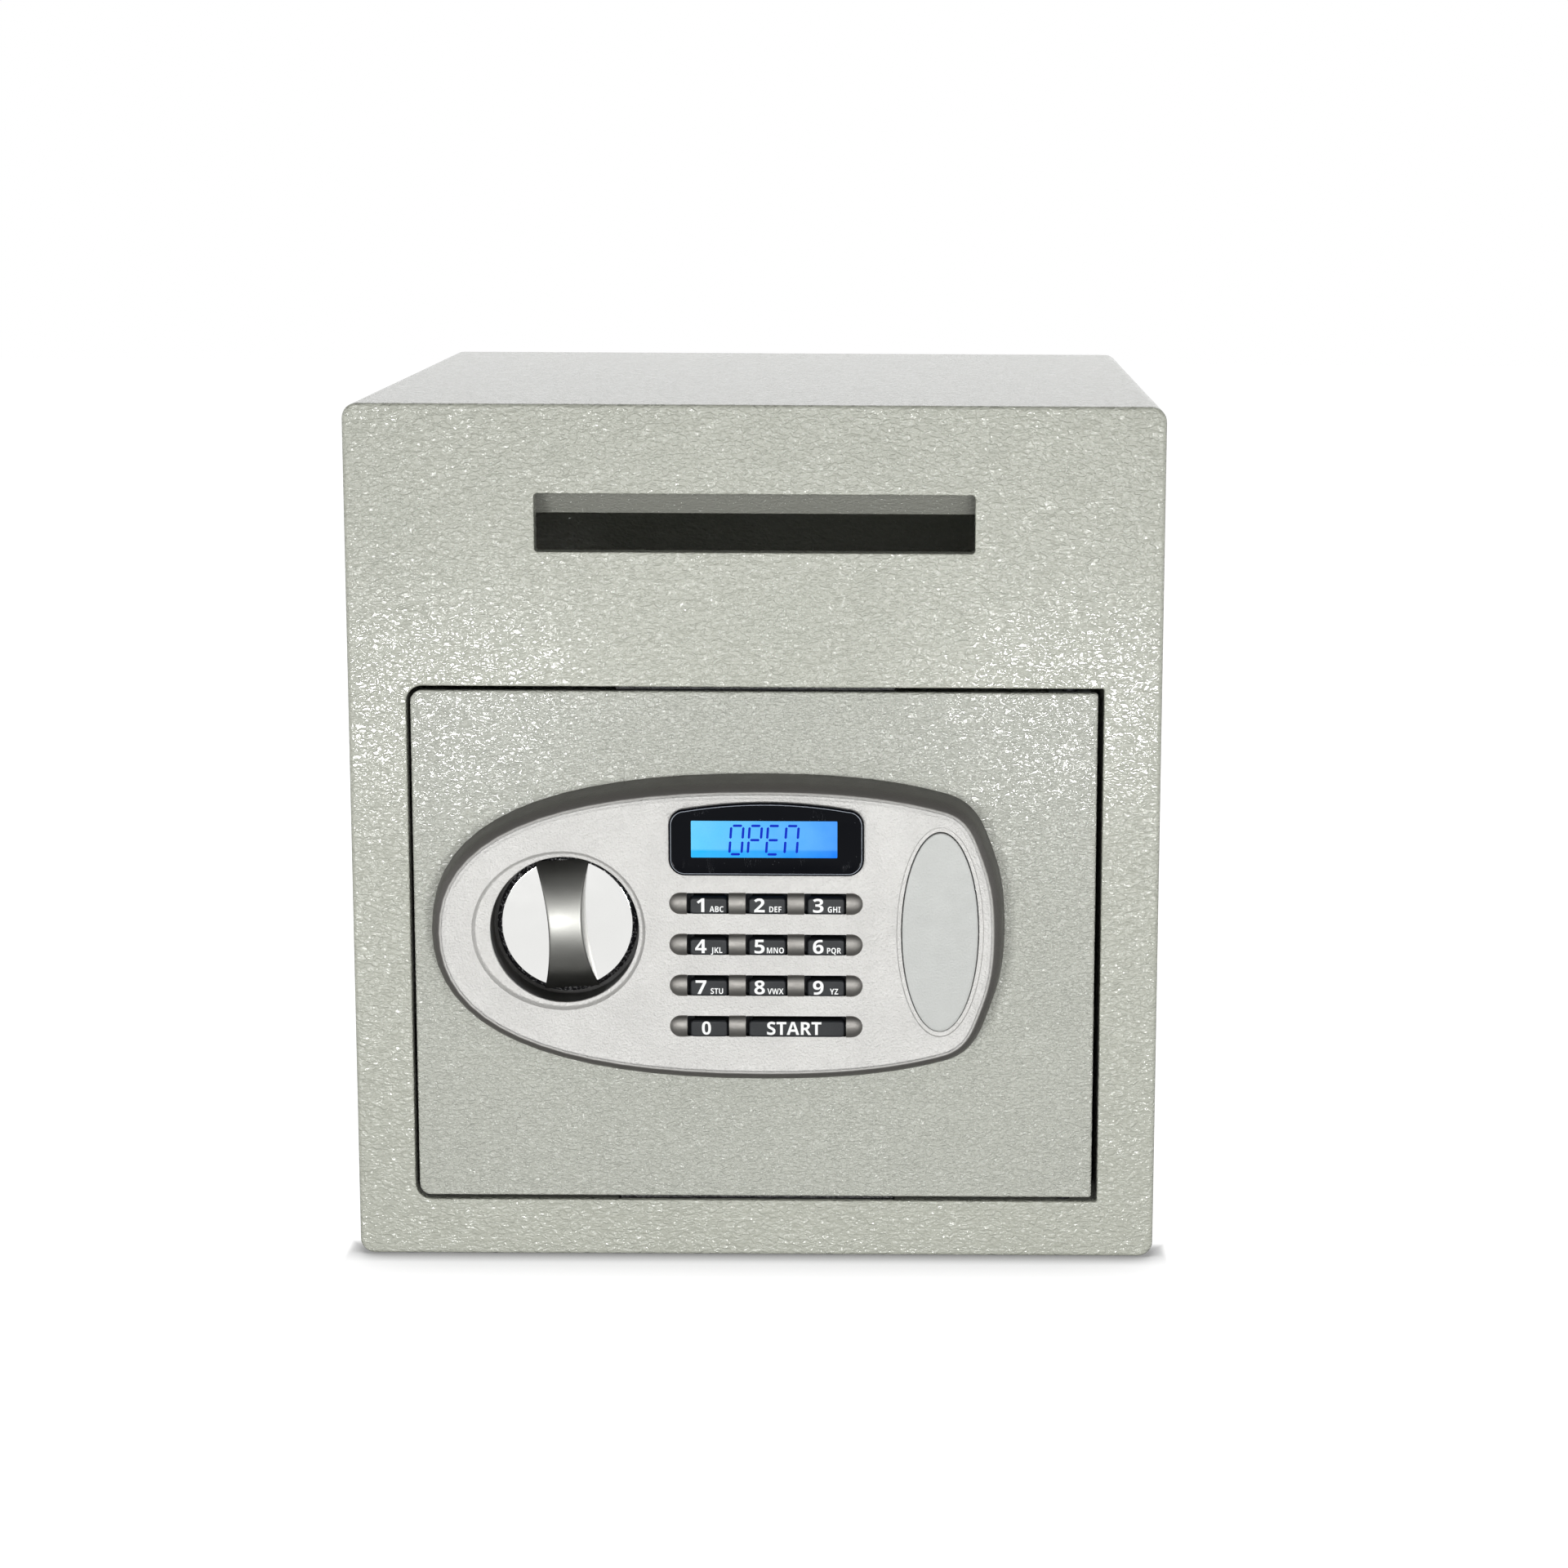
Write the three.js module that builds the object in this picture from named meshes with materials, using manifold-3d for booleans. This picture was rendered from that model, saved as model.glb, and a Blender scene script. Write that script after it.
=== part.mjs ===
// A deposit safe: a painted steel cabinet with a letter slot above an electronic lock door.
// Millimetres, +Z up. The origin is the middle of the base and the front faces -Y.
// Everything is drawn from the front face: in a piece's own frame y = 0 is that face and
// +Y goes into the safe. At rest the door is shut and its bolts are drawn back.

import * as THREE from 'three';
import { mergeVertices } from 'three/addons/utils/BufferGeometryUtils.js';
import Module from 'manifold-3d';

const wasm = await Module();
wasm.setup();

// Cabinet

const BODY_WIDTH = 350;
const BODY_DEPTH = 360;
const BODY_HEIGHT = 375;
const BODY_CORNER = 6.5;
const SHELL_WALL = 2;
const FRONT_PLATE = 3;
const BACK_PLATE = 3;
const ANCHOR_HOLE_RADIUS = 5.5;
const BASE_ANCHOR_SPACING = 200;
const BACK_ANCHOR_SPACING = 180;
const BACK_ANCHOR_HEIGHT = 215;
const MAT_THICKNESS = 2;
const MAT_BORDER = 5;
const MAT_HOLE_RADIUS = 9;

// Door opening, its folded frame and its stops

const OPENING_LEFT_OF_PANEL = 9.7;
const OPENING_RIGHT_OF_PANEL = 41.8;
const OPENING_BOTTOM = 25;
const OPENING_HEIGHT = 229;
const OPENING_CORNER = 7;
const FRAME_WALL = 2;
const FRAME_DEPTH = 30;
const STOP_WIDTH = 120;
const STOP_REACH = 4;
const STOP_THICKNESS = 2;

// Deposit slot and its baffles

const SLOT_WIDTH = 188;
const SLOT_HEIGHT = 25;
const SLOT_BELOW_TOP = 38;
const SLOT_CORNER = 1.5;
const COLLAR_WALL = 2;
const COLLAR_DEPTH = 6;
const BAFFLE_SHEET = 1.5;
const BAFFLE_WIDTH = 204;
const UPPER_FLANGE = 20;
const SPACE_PER_LOWER_FLANGE = 2.9;
const UPPER_BAFFLE_ABOVE_COLLAR = 5;
const UPPER_BAFFLE_BEND = 5;
const UPPER_BAFFLE_OVER_COLLAR = 1;
const LOWER_BAFFLE_BELOW_COLLAR = 4;
const UPPER_BAFFLE_REACH = 21;
const UPPER_BAFFLE_DROP = 10.6;
const LOWER_BAFFLE_REACH = 56;
const LOWER_BAFFLE_FALL = 14;
const TOOTH_PITCH = 12;
const TOOTH_DEPTH = 6;

// Door

const DOOR_PLATE = 4;
const DOOR_CORNER = 5;
const GAP_LOCK_SIDE = 1.7;
const GAP_HINGE_SIDE = 2.5;
const GAP_TOP_BOTTOM = 2;
const HINGE_INSET = 12;
const HINGE_SETBACK = 7.5;
const HINGE_PIN_RADIUS = 3;
const HINGE_PIN_CLEARANCE = 0.3;
const HINGE_BLOCK_WIDTH = 18;
const HINGE_BLOCK_HEIGHT = 22;
const HINGE_BLOCK_DEPTH = 10;
const HINGE_PIN_INSERT = 18;
const HINGE_PIN_BEYOND_FRAME = 2;
const BOX_WALL = 2;
const BOX_DEPTH = 38;
const BOX_SIDE_INSET = 5.3;
const BOX_HINGE_INSET = 35.5;
const BOX_TOP_INSET = 12;
const BOX_BOTTOM_INSET = 15;
const POST_SIZE = 10;
const POST_INSET = 7;
const COVER_SHEET = 1.5;
const SCREW_RADIUS = 1.9;
const SCREW_LENGTH = 10;
const SCREW_HEAD_RADIUS = 4;
const SCREW_HEAD_HEIGHT = 2.4;
const SCREW_CROWN_RADIUS = 2.4;
const SCREW_DRIVE = 4;
const SCREW_DRIVE_WIDTH = 0.8;
const FIT = 0.3;

// Control panel on the door

const PANEL_LEFT = -140.3;
const PANEL_RIGHT = 108.2;
const PANEL_CREST_X = 2;
const PANEL_HALF_HEIGHT = 66.9;
const PANEL_Z = 149.6;
const PANEL_FACE = 18;
const PANEL_BEAD = 0.7;
const PANEL_WALL = 2.5;
const PANEL_LEFT_PULL = 46;
const PANEL_CREST_PULLS = [91, 28];
const PANEL_SHOULDER = { inward: 26.2, down: 8.3, pullBack: [25.1, 6.8], pullOn: [9.7, 2.6] };
const PANEL_CORNER = { inward: 8, down: 25.9, pullBack: [3.6, 9.3], pullOn: [5, 13] };
const PANEL_RIGHT_PULL = 20;
const PANEL_SIDE_STEPS = [{ below: 5, inward: 1.4 }, { below: 1.6, inward: 2.6 }];
const PANEL_CREST_INWARD = 5;
const PANEL_VALLEY_INWARD = 8;
const PANEL_HOLLOW_TAPER = 3;
const FEATURE_Z = 150.5;

// Display

const BEZEL_X = 5.5;
const BEZEL_WIDTH = 83.6;
const BEZEL_BOTTOM = 25;
const BEZEL_HEIGHT = 29;
const BEZEL_ARCH = 3;
const BEZEL_CORNER = 7;
const BEZEL_FLANGE = 2.4;
const BEZEL_LIP = 2;
const WINDOW_X = -0.9;
const WINDOW_WIDTH = 62.5;
const WINDOW_HEIGHT = 16;
const WINDOW_Z = 41;
const DISPLAY_WIDTH = 76;
const DISPLAY_HEIGHT = 23;

// Keypad

const KEY_ROW_TOP = 12.5;
const KEY_ROW_PITCH = 18.05;
const KEY_ROW_HEIGHT = 9.5;
const KEY_ROW_LEFT = -36.3;
const KEY_ROW_RIGHT = 46.8;
const KEY_BAR_RISE = 2;
const KEY_PITCH = 25.2;
const KEY_FIRST_X = -19.7;
const KEY_WIDTH = 18;
const KEY_CORNER = 1.6;
const KEY_GAP = 0.5;
const KEY_PROUD = 1.8;
const KEY_TRAVEL = 1.2;
const KEY_FLANGE = 1.3;
const STEM_WIDTH = 12;
const STEM_HEIGHT = 5;
const STEM_CLEARANCE = 0.5;
const MAT_RUBBER = 4.5;
const MAT_MARGIN = 1;
const KEY_SLOT_MARGIN = 0.2;
const KEY_FLANGE_REACH = 0.8;
const KEY_ROOM_BEHIND = 5;
const BOARD_THICKNESS = 1.6;
const BOARD_FACE = 7;
const BOARD_LEFT = -44.5;
const BOARD_RIGHT = 54.5;
const BOARD_BOTTOM = 98;
const BOARD_TOP = 203.5;
const BOSS_RADIUS = 2.5;
const BOSS_INSET = 3.5;

// Knob and its well

const KNOB_X = -81.5;
const KNOB_RADIUS = 30.3;
const KNOB_FACE_RADIUS = 28.4;
const KNOB_FACE = 3.2;
const KNOB_SLOPE = 1.8;
const KNOB_BACK = 0.6;
const KNOB_TILT_DEG = -3.85;
const GRIP_RISE = 10.5;
const GRIP_END_HALF_WIDTH = 12;
const GRIP_WAIST_HALF_WIDTH = 7.3;
const WELL_RADIUS = 32;
const WELL_WALL = 2;
const WELL_FACETS = 48;
const LEDGE_RADIUS = 34.8;
const LEDGE_LEFT = 39.6;
const LEDGE_SLOPE = 1.4;
const LEDGE_DEPTH = 2.2;
const LEDGE_FLOOR = 1.6;
const LEDGE_WALL = 1.5;
const SPINDLE_RADIUS = 5;
const SPINDLE_SQUARE = 8;
const SPINDLE_SOCKET_DEPTH = 3;
const SPINDLE_END_GAP = 0.5;
const SPINDLE_SHOULDER_GAP = 0.7;
const SPINDLE_TAIL = 1;
const BUSHING_FLANGE = 2;
const BUSHING_SLEEVE = 6;
const BUSHING_WALL = 0.8;
const BUSHING_FLANGE_RADIUS = 11;
const RUNNING_GAP = 0.4;

// Bolt work behind the door

const KNOB_TURN_DEG = 70;
const CRANK_RADIUS = 16;
const CRANK_Y = 20;
const CRANK_THICKNESS = 5;
const CRANK_HUB_RADIUS = 9;
const CRANK_ARM_WIDTH = 9;
const CRANK_PIN_RADIUS = 2.5;
const CRANK_PIN_CLEARANCE = 0.6;
const CRANK_PIN_PROUD = 1.5;
const CARRIAGE_Y = 28;
const CARRIAGE_PLATE = 3;
const CARRIAGE_BAR_RIGHT = 40;
const CARRIAGE_BAR_HALF = 12.5;
const CARRIAGE_BAR_TOP = 26;
const BOLT_RADIUS = 9;
const BOLT_SPACING = 110;
const BOLT_Y = 18;
const BOLT_DRAWN_TIP = 2.3;
const BOLT_LENGTH = 32;
const BOLT_CHAMFER = 1.5;
const BOLT_WINDOW_GAP = 2.5;
const BOLT_NECK_RADIUS = 4;
const BOLT_RIVET_RADIUS = 6;
const BOLT_RIVET_HEIGHT = 2;
const WEB_REACH_ABOVE_BOLT = 15;
const STUD_RADIUS = 4;
const STUD_HEAD_RADIUS = 6.5;
const STUD_HEAD = 2;
const CARRIAGE_PAST_CRANK = 14;
const STUD_LEFT_X = -100;
const STUD_RIGHT_X = 10;

// Solenoid that blocks the carriage

const PLUNGER_X = 25;
const PLUNGER_RADIUS = 3;
const PLUNGER_TRAVEL = 6;
const PLUNGER_TIP_GAP = 1;
const TOOTH_CLEARANCE = 0.6;
const SOLENOID_WIDTH = 24;
const SOLENOID_THICKNESS = 20;
const SOLENOID_HEIGHT = 28;
const SOLENOID_BELOW_TOOTH = 13;
const SOLENOID_FLOOR = 8;
const SOLENOID_BRACKET = 2;
const SOLENOID_BRACKET_FOOT = 4;
const SPRING_RADIUS = 4.6;
const COLLAR_RADIUS = 5;
const COLLAR_HEIGHT = 1.6;
const COLLAR_BELOW_TIP = 4.6;

// Override lock behind the oval cover

const COVER_X = 80;
const COVER_HALF_WIDTH = 16.35;
const COVER_HALF_HEIGHT = 43.6;
const COVER_RECESS = 2.4;
const COVER_RECESS_DEPTH = 1;
const COVER_THICKNESS = 2.2;
const COVER_SKIRT = 6;
const COVER_GAP = 0.3;
const COVER_FACETS = 14;
const POCKET_LEDGE = 1.2;
const POCKET_WALL = 1.5;
const LOCK_RADIUS = 9;
const LOCK_FLANGE_RADIUS = 11;
const LOCK_FLANGE = 2.5;
const LOCK_LENGTH = 26;
const PLUG_RADIUS = 6;
const CAM_LENGTH = 24;
const CAM_WIDTH = 10;
const CAM_THICKNESS = 2;
const KEYWAY_WIDTH = 2;
const KEYWAY_HEIGHT = 8;
const KEYWAY_DEPTH = 14;
const PLUG_PROUD = 0.5;
const PLUG_SHOULDER = 1;
const PLUG_NECK_RADIUS = 3;
const PLUG_NECK_PAST_CAM = 1;

// Batteries, control board, reset button and the lead between the boards

const BATTERY_RADIUS = 7.25;
const BATTERY_LENGTH = 50.5;
const BATTERY_COUNT = 4;
const BATTERY_PITCH = 15.2;
const HOLDER_RIGHT_INSET = 4;
const HOLDER_BOTTOM = 56;
const HOLDER_WALL = 1.2;
const HOLDER_DEPTH = 20;
const HOLDER_FLOOR = 2;
const HOLDER_SIDE_ROOM = 0.8;
const HOLDER_END_ROOM = 3;
const BATTERY_TIP_RADIUS = 2.7;
const BATTERY_TIP_HEIGHT = 1.2;
const LID_LAND = 2;
const LID_GAP = 0.4;
const LID_FLANGE = 2;
const CONTROL_LEFT = 48;
const CONTROL_RIGHT = 104;
const CONTROL_BOTTOM = 158;
const CONTROL_TOP = 228;
const CONTROL_STANDOFF = 10.4;
const STANDOFF_RADIUS = 3;
const STANDOFF_INSET = 4;
const RESET_X = 90;
const RESET_Z = 214;
const RESET_RADIUS = 4;
const RESET_PROUD = 3.5;
const RESET_TRAVEL = 2;
const RESET_COLLAR_RADIUS = 5.5;
const RESET_COLLAR = 2;
const LEAD_RADIUS = 2;
const LEAD_HOLE_RADIUS = 6;
const LEAD_START = [52, 165];
const LEAD_MIDDLE = [56, 176];
const LEAD_END = [62, 188];
const LEAD_TURNS_BEHIND_PLATE = [6, 11, 16];

// Derived places, all from the front face

const deg = Math.PI / 180;
const opening = {
  left: PANEL_LEFT - OPENING_LEFT_OF_PANEL,
  right: PANEL_RIGHT + OPENING_RIGHT_OF_PANEL,
  bottom: OPENING_BOTTOM,
  top: OPENING_BOTTOM + OPENING_HEIGHT,
};
const door = {
  left: opening.left + GAP_LOCK_SIDE,
  right: opening.right - GAP_HINGE_SIDE,
  bottom: opening.bottom + GAP_TOP_BOTTOM,
  top: opening.top - GAP_TOP_BOTTOM,
};
const slot = {
  left: -SLOT_WIDTH / 2,
  right: SLOT_WIDTH / 2,
  bottom: BODY_HEIGHT - SLOT_BELOW_TOP - SLOT_HEIGHT,
  top: BODY_HEIGHT - SLOT_BELOW_TOP,
};
const box = {
  left: door.left + BOX_SIDE_INSET,
  right: door.right - BOX_HINGE_INSET,
  bottom: door.bottom + BOX_BOTTOM_INSET,
  top: door.top - BOX_TOP_INSET,
  back: DOOR_PLATE + BOX_DEPTH,
};
const hinge = { x: door.right - HINGE_INSET, y: HINGE_SETBACK };
const boltCentres = [FEATURE_Z - BOLT_SPACING / 2, FEATURE_Z + BOLT_SPACING / 2];
const boltTip = opening.left + GAP_LOCK_SIDE + BOLT_DRAWN_TIP;
const webX = boltTip + BOLT_LENGTH;
const crankSwing = KNOB_TURN_DEG / 2 * deg;
const boltTravel = 2 * CRANK_RADIUS * Math.sin(crankSwing);
const holder = {
  right: box.right - HOLDER_RIGHT_INSET,
  left: box.right - HOLDER_RIGHT_INSET - BATTERY_COUNT * BATTERY_PITCH - 2 * HOLDER_WALL - HOLDER_SIDE_ROOM,
  bottom: HOLDER_BOTTOM,
  top: HOLDER_BOTTOM + BATTERY_LENGTH + 2 * HOLDER_WALL + HOLDER_END_ROOM,
  front: box.back - HOLDER_DEPTH,
};
const toothReach = COLLAR_RADIUS + TOOTH_CLEARANCE;
const toothLeft = PLUNGER_X + toothReach;
const toothWidth = boltTravel - 2 * toothReach;
const barBottom = FEATURE_Z - CARRIAGE_BAR_HALF;
const toothBottom = barBottom - PLUNGER_TRAVEL - PLUNGER_TIP_GAP;
const solenoidTop = toothBottom - SOLENOID_BELOW_TOOTH;

// Materials

const paint = new THREE.MeshStandardMaterial({ color: 0xb7b8ad, roughness: 0.55, metalness: 0.2 });
const zinc = new THREE.MeshStandardMaterial({ color: 0xa9adb0, roughness: 0.4, metalness: 0.9 });
const steel = new THREE.MeshStandardMaterial({ color: 0x8d9093, roughness: 0.35, metalness: 0.95 });
const chrome = new THREE.MeshStandardMaterial({ color: 0xd9dadb, roughness: 0.12, metalness: 1 });
const silver = new THREE.MeshStandardMaterial({ color: 0xcfcdcc, roughness: 0.5, metalness: 0.3 });
const coverGrey = new THREE.MeshStandardMaterial({ color: 0xc6c9ca, roughness: 0.5, metalness: 0.2 });
const black = new THREE.MeshStandardMaterial({ color: 0x14161a, roughness: 0.12, metalness: 0 });
const darkPlastic = new THREE.MeshStandardMaterial({ color: 0x2b2c2e, roughness: 0.6, metalness: 0 });
const rubber = new THREE.MeshStandardMaterial({ color: 0x2f3133, roughness: 0.8, metalness: 0 });
const glassBlue = new THREE.MeshStandardMaterial({ color: 0x4fb4ff, roughness: 0.2, metalness: 0 });
const circuit = new THREE.MeshStandardMaterial({ color: 0x1d6a3c, roughness: 0.5, metalness: 0 });
const brass = new THREE.MeshStandardMaterial({ color: 0xc0a25c, roughness: 0.3, metalness: 1 });
const red = new THREE.MeshStandardMaterial({ color: 0xb8231f, roughness: 0.4, metalness: 0 });
const felt = new THREE.MeshStandardMaterial({ color: 0x3a3b40, roughness: 0.95, metalness: 0 });
const cell = new THREE.MeshStandardMaterial({ color: 0x5d6a70, roughness: 0.35, metalness: 0.5 });

// Solids

// Turns a closed geometry into a manifold solid with its faces pointing out.
function solid(geometry) {
  const bare = geometry.index ? geometry.toNonIndexed() : geometry.clone();
  for (const name of Object.keys(bare.attributes)) {
    if (name !== 'position') bare.deleteAttribute(name);
  }
  const merged = mergeVertices(bare, 1e-4);
  const at = merged.attributes.position;
  const corner = [new THREE.Vector3(), new THREE.Vector3(), new THREE.Vector3()];
  const kept = [];
  let volume = 0;
  for (let i = 0; i < merged.index.count; i += 3) {
    const ids = [0, 1, 2].map((k) => merged.index.getX(i + k));
    if (ids[0] === ids[1] || ids[1] === ids[2] || ids[2] === ids[0]) continue;
    ids.forEach((id, k) => corner[k].fromBufferAttribute(at, id));
    volume += corner[0].dot(corner[1].clone().cross(corner[2]));
    kept.push(ids);
  }
  const triVerts = new Uint32Array(kept.flatMap(([a, b, c]) => (volume < 0 ? [a, c, b] : [a, b, c])));
  const vertProperties = new Float32Array(at.array);
  return new wasm.Manifold(new wasm.Mesh({ numProp: 3, vertProperties, triVerts }));
}

const join = (first, ...rest) => rest.reduce((whole, next) => whole.add(next), first);
const cut = (first, ...rest) => rest.reduce((whole, next) => whole.subtract(next), first);

// A shape drawn in X and Z, made solid from y0 to y1.
function plate(shape, y0, y1, curveSegments = 6) {
  const geometry = new THREE.ExtrudeGeometry(shape, { depth: y1 - y0, bevelEnabled: false, curveSegments });
  return solid(geometry.rotateX(Math.PI / 2).translate(0, y1, 0));
}

// A shape drawn in Y and Z, made solid from x0 to x1.
function bar(shape, x0, x1) {
  const geometry = new THREE.ExtrudeGeometry(shape, { depth: x1 - x0, bevelEnabled: false });
  const turn = new THREE.Matrix4().makeBasis(
    new THREE.Vector3(0, 1, 0), new THREE.Vector3(0, 0, 1), new THREE.Vector3(1, 0, 0));
  return solid(geometry.applyMatrix4(turn).translate(x0, 0, 0));
}

// A block between two corners.
function block(x0, x1, y0, y1, z0, z1) {
  const geometry = new THREE.BoxGeometry(x1 - x0, y1 - y0, z1 - z0);
  return solid(geometry.translate((x0 + x1) / 2, (y0 + y1) / 2, (z0 + z1) / 2));
}

// A turned solid about an axis through a point: profile pairs are radius and distance along the axis.
function turned(profile, axis, x, y, z, segments = 16) {
  const points = profile.map(([radius, along]) => new THREE.Vector2(radius, along));
  const geometry = new THREE.LatheGeometry(points, segments);
  if (axis === 'x') geometry.rotateZ(-Math.PI / 2);
  if (axis === 'z') geometry.rotateX(Math.PI / 2);
  return solid(geometry.translate(x, y, z));
}

// A plain round rod between two distances along an axis.
function rod(radius, axis, x, y, z, from, to, segments = 16) {
  return turned([[0, from], [radius, from], [radius, to], [0, to]], axis, x, y, z, segments);
}

function rectangle(x0, x1, z0, z1) {
  return new THREE.Shape([
    new THREE.Vector2(x0, z0), new THREE.Vector2(x1, z0),
    new THREE.Vector2(x1, z1), new THREE.Vector2(x0, z1)]);
}

// A rectangle with a radius for each corner: bottom left, bottom right, top right, top left.
function roundedRectangle(x0, x1, z0, z1, radii) {
  const [bl, br, tr, tl] = Array.isArray(radii) ? radii : [radii, radii, radii, radii];
  const shape = new THREE.Shape();
  shape.moveTo(x0 + bl, z0);
  shape.lineTo(x1 - br, z0);
  if (br > 0) shape.absarc(x1 - br, z0 + br, br, -Math.PI / 2, 0);
  shape.lineTo(x1, z1 - tr);
  if (tr > 0) shape.absarc(x1 - tr, z1 - tr, tr, 0, Math.PI / 2);
  shape.lineTo(x0 + tl, z1);
  if (tl > 0) shape.absarc(x0 + tl, z1 - tl, tl, Math.PI / 2, Math.PI);
  shape.lineTo(x0, z0 + bl);
  if (bl > 0) shape.absarc(x0 + bl, z0 + bl, bl, Math.PI, Math.PI * 1.5);
  return shape;
}

function ellipse(x, z, halfWidth, halfHeight) {
  const shape = new THREE.Shape();
  shape.absellipse(x, z, halfWidth, halfHeight, 0, Math.PI * 2);
  return shape;
}

// A closed solid through rings of equal point count, each ring flat in Y, from the door outwards.
function loft(rings) {
  const count = rings[0].points.length;
  const position = rings.flatMap(({ y, points }) => points.flatMap((p) => [p.x, y, p.y]));
  const index = [];
  for (let r = 0; r + 1 < rings.length; r += 1) {
    for (let i = 0; i < count; i += 1) {
      const next = (i + 1) % count;
      const [a, b, c, d] = [r * count + i, r * count + next, (r + 1) * count + next, (r + 1) * count + i];
      index.push(a, b, c, a, c, d);
    }
  }
  const caps = THREE.ShapeUtils.triangulateShape(rings[0].points, []);
  const last = (rings.length - 1) * count;
  const flip = THREE.ShapeUtils.isClockWise(rings[0].points);
  for (const [a, b, c] of caps) {
    if (flip) index.push(a, b, c);
    else index.push(a, c, b);
  }
  for (const [a, b, c] of THREE.ShapeUtils.triangulateShape(rings[rings.length - 1].points, [])) {
    if (flip) index.push(last + a, last + c, last + b);
    else index.push(last + a, last + b, last + c);
  }
  const geometry = new THREE.BufferGeometry();
  geometry.setAttribute('position', new THREE.Float32BufferAttribute(position, 3));
  geometry.setIndex(index);
  return solid(geometry);
}

// Moves each point of a closed outline inwards along its own normal.
function inset(points, distance) {
  const sign = THREE.ShapeUtils.isClockWise(points) ? 1 : -1;
  return points.map((point, i) => {
    const before = points[(i + points.length - 1) % points.length];
    const after = points[(i + 1) % points.length];
    const along = after.clone().sub(before).normalize();
    return new THREE.Vector2(point.x + sign * along.y * distance, point.y - sign * along.x * distance);
  });
}

// A named mesh from a manifold solid.
function piece(name, body, material) {
  const { vertProperties, triVerts } = body.getMesh();
  const geometry = new THREE.BufferGeometry();
  geometry.setAttribute('position', new THREE.BufferAttribute(new Float32Array(vertProperties), 3));
  geometry.setIndex(new THREE.BufferAttribute(new Uint32Array(triVerts), 1));
  geometry.computeVertexNormals();
  const mesh = new THREE.Mesh(geometry, material);
  mesh.name = name;
  return mesh;
}

function groupOf(...members) {
  const group = new THREE.Group();
  group.add(...members);
  return group;
}

// Cabinet pieces

function bodyOutline(inward = 0) {
  return roundedRectangle(-BODY_WIDTH / 2 + inward, BODY_WIDTH / 2 - inward,
    inward, BODY_HEIGHT - inward, BODY_CORNER - inward);
}

const baseAnchors = [-1, 1].map((side) => side * BASE_ANCHOR_SPACING / 2);
const backAnchors = [-1, 1].map((side) => side * BACK_ANCHOR_SPACING / 2);

function bodyShell() {
  const shape = bodyOutline();
  shape.holes.push(bodyOutline(SHELL_WALL));
  const tube = plate(shape, FRONT_PLATE, BODY_DEPTH - BACK_PLATE, 5);
  const holes = baseAnchors.map((x) => rod(ANCHOR_HOLE_RADIUS, 'z', x, BODY_DEPTH / 2, 0,
    -1, SHELL_WALL + 1));
  return piece('body_shell', cut(tube, ...holes), paint);
}

function backPanel() {
  const panel = plate(bodyOutline(), BODY_DEPTH - BACK_PLATE, BODY_DEPTH, 5);
  const holes = backAnchors.map((x) => rod(ANCHOR_HOLE_RADIUS, 'y', x, BODY_DEPTH, BACK_ANCHOR_HEIGHT,
    -BACK_PLATE - 1, 1));
  return piece('back_panel', cut(panel, ...holes), paint);
}

function slotOutline(outward = 0) {
  return roundedRectangle(slot.left - outward, slot.right + outward,
    slot.bottom - outward, slot.top + outward, SLOT_CORNER + outward);
}

function openingOutline(outward = 0) {
  const round = OPENING_CORNER + outward;
  return roundedRectangle(opening.left - outward, opening.right + outward,
    opening.bottom - outward, opening.top + outward, [round, 0, 0, round]);
}

function frontFrame() {
  const front = plate(bodyOutline(), 0, FRONT_PLATE, 5);
  const collar = plate(slotOutline(COLLAR_WALL), FRONT_PLATE / 2, FRONT_PLATE + COLLAR_DEPTH, 5);
  const slotCut = plate(slotOutline(), -1, FRONT_PLATE + COLLAR_DEPTH + 1, 5);
  const doorCut = plate(openingOutline(), -1, FRONT_PLATE + 1, 5);
  return piece('front_frame', cut(join(front, collar), slotCut, doorCut), paint);
}

function doorFrame() {
  const back = FRONT_PLATE + FRAME_DEPTH;
  const shape = openingOutline(FRAME_WALL);
  shape.holes.push(openingOutline());
  const stopFront = DOOR_PLATE + 2 * FIT;
  const stops = [
    block(-STOP_WIDTH / 2, STOP_WIDTH / 2, stopFront, stopFront + STOP_THICKNESS,
      opening.top - STOP_REACH, opening.top + FRAME_WALL / 2),
    block(-STOP_WIDTH / 2, STOP_WIDTH / 2, stopFront, stopFront + STOP_THICKNESS,
      opening.bottom - FRAME_WALL / 2, opening.bottom + STOP_REACH),
  ];
  const half = BOLT_RADIUS + BOLT_WINDOW_GAP;
  const boltWindows = boltCentres.map((z) => block(opening.left - FRAME_WALL - 1, opening.left + 1,
    BOLT_Y - half, BOLT_Y + half, z - half, z + half));
  const pinHole = (z) => rod(HINGE_PIN_RADIUS + HINGE_PIN_CLEARANCE, 'z', hinge.x, hinge.y, z,
    -FRAME_WALL - 1, FRAME_WALL + 1, 16);
  const ring = join(plate(shape, FRONT_PLATE, back, 5), ...stops);
  return piece('door_frame', cut(ring, ...boltWindows, pinHole(opening.top), pinHole(opening.bottom)), paint);
}

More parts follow.
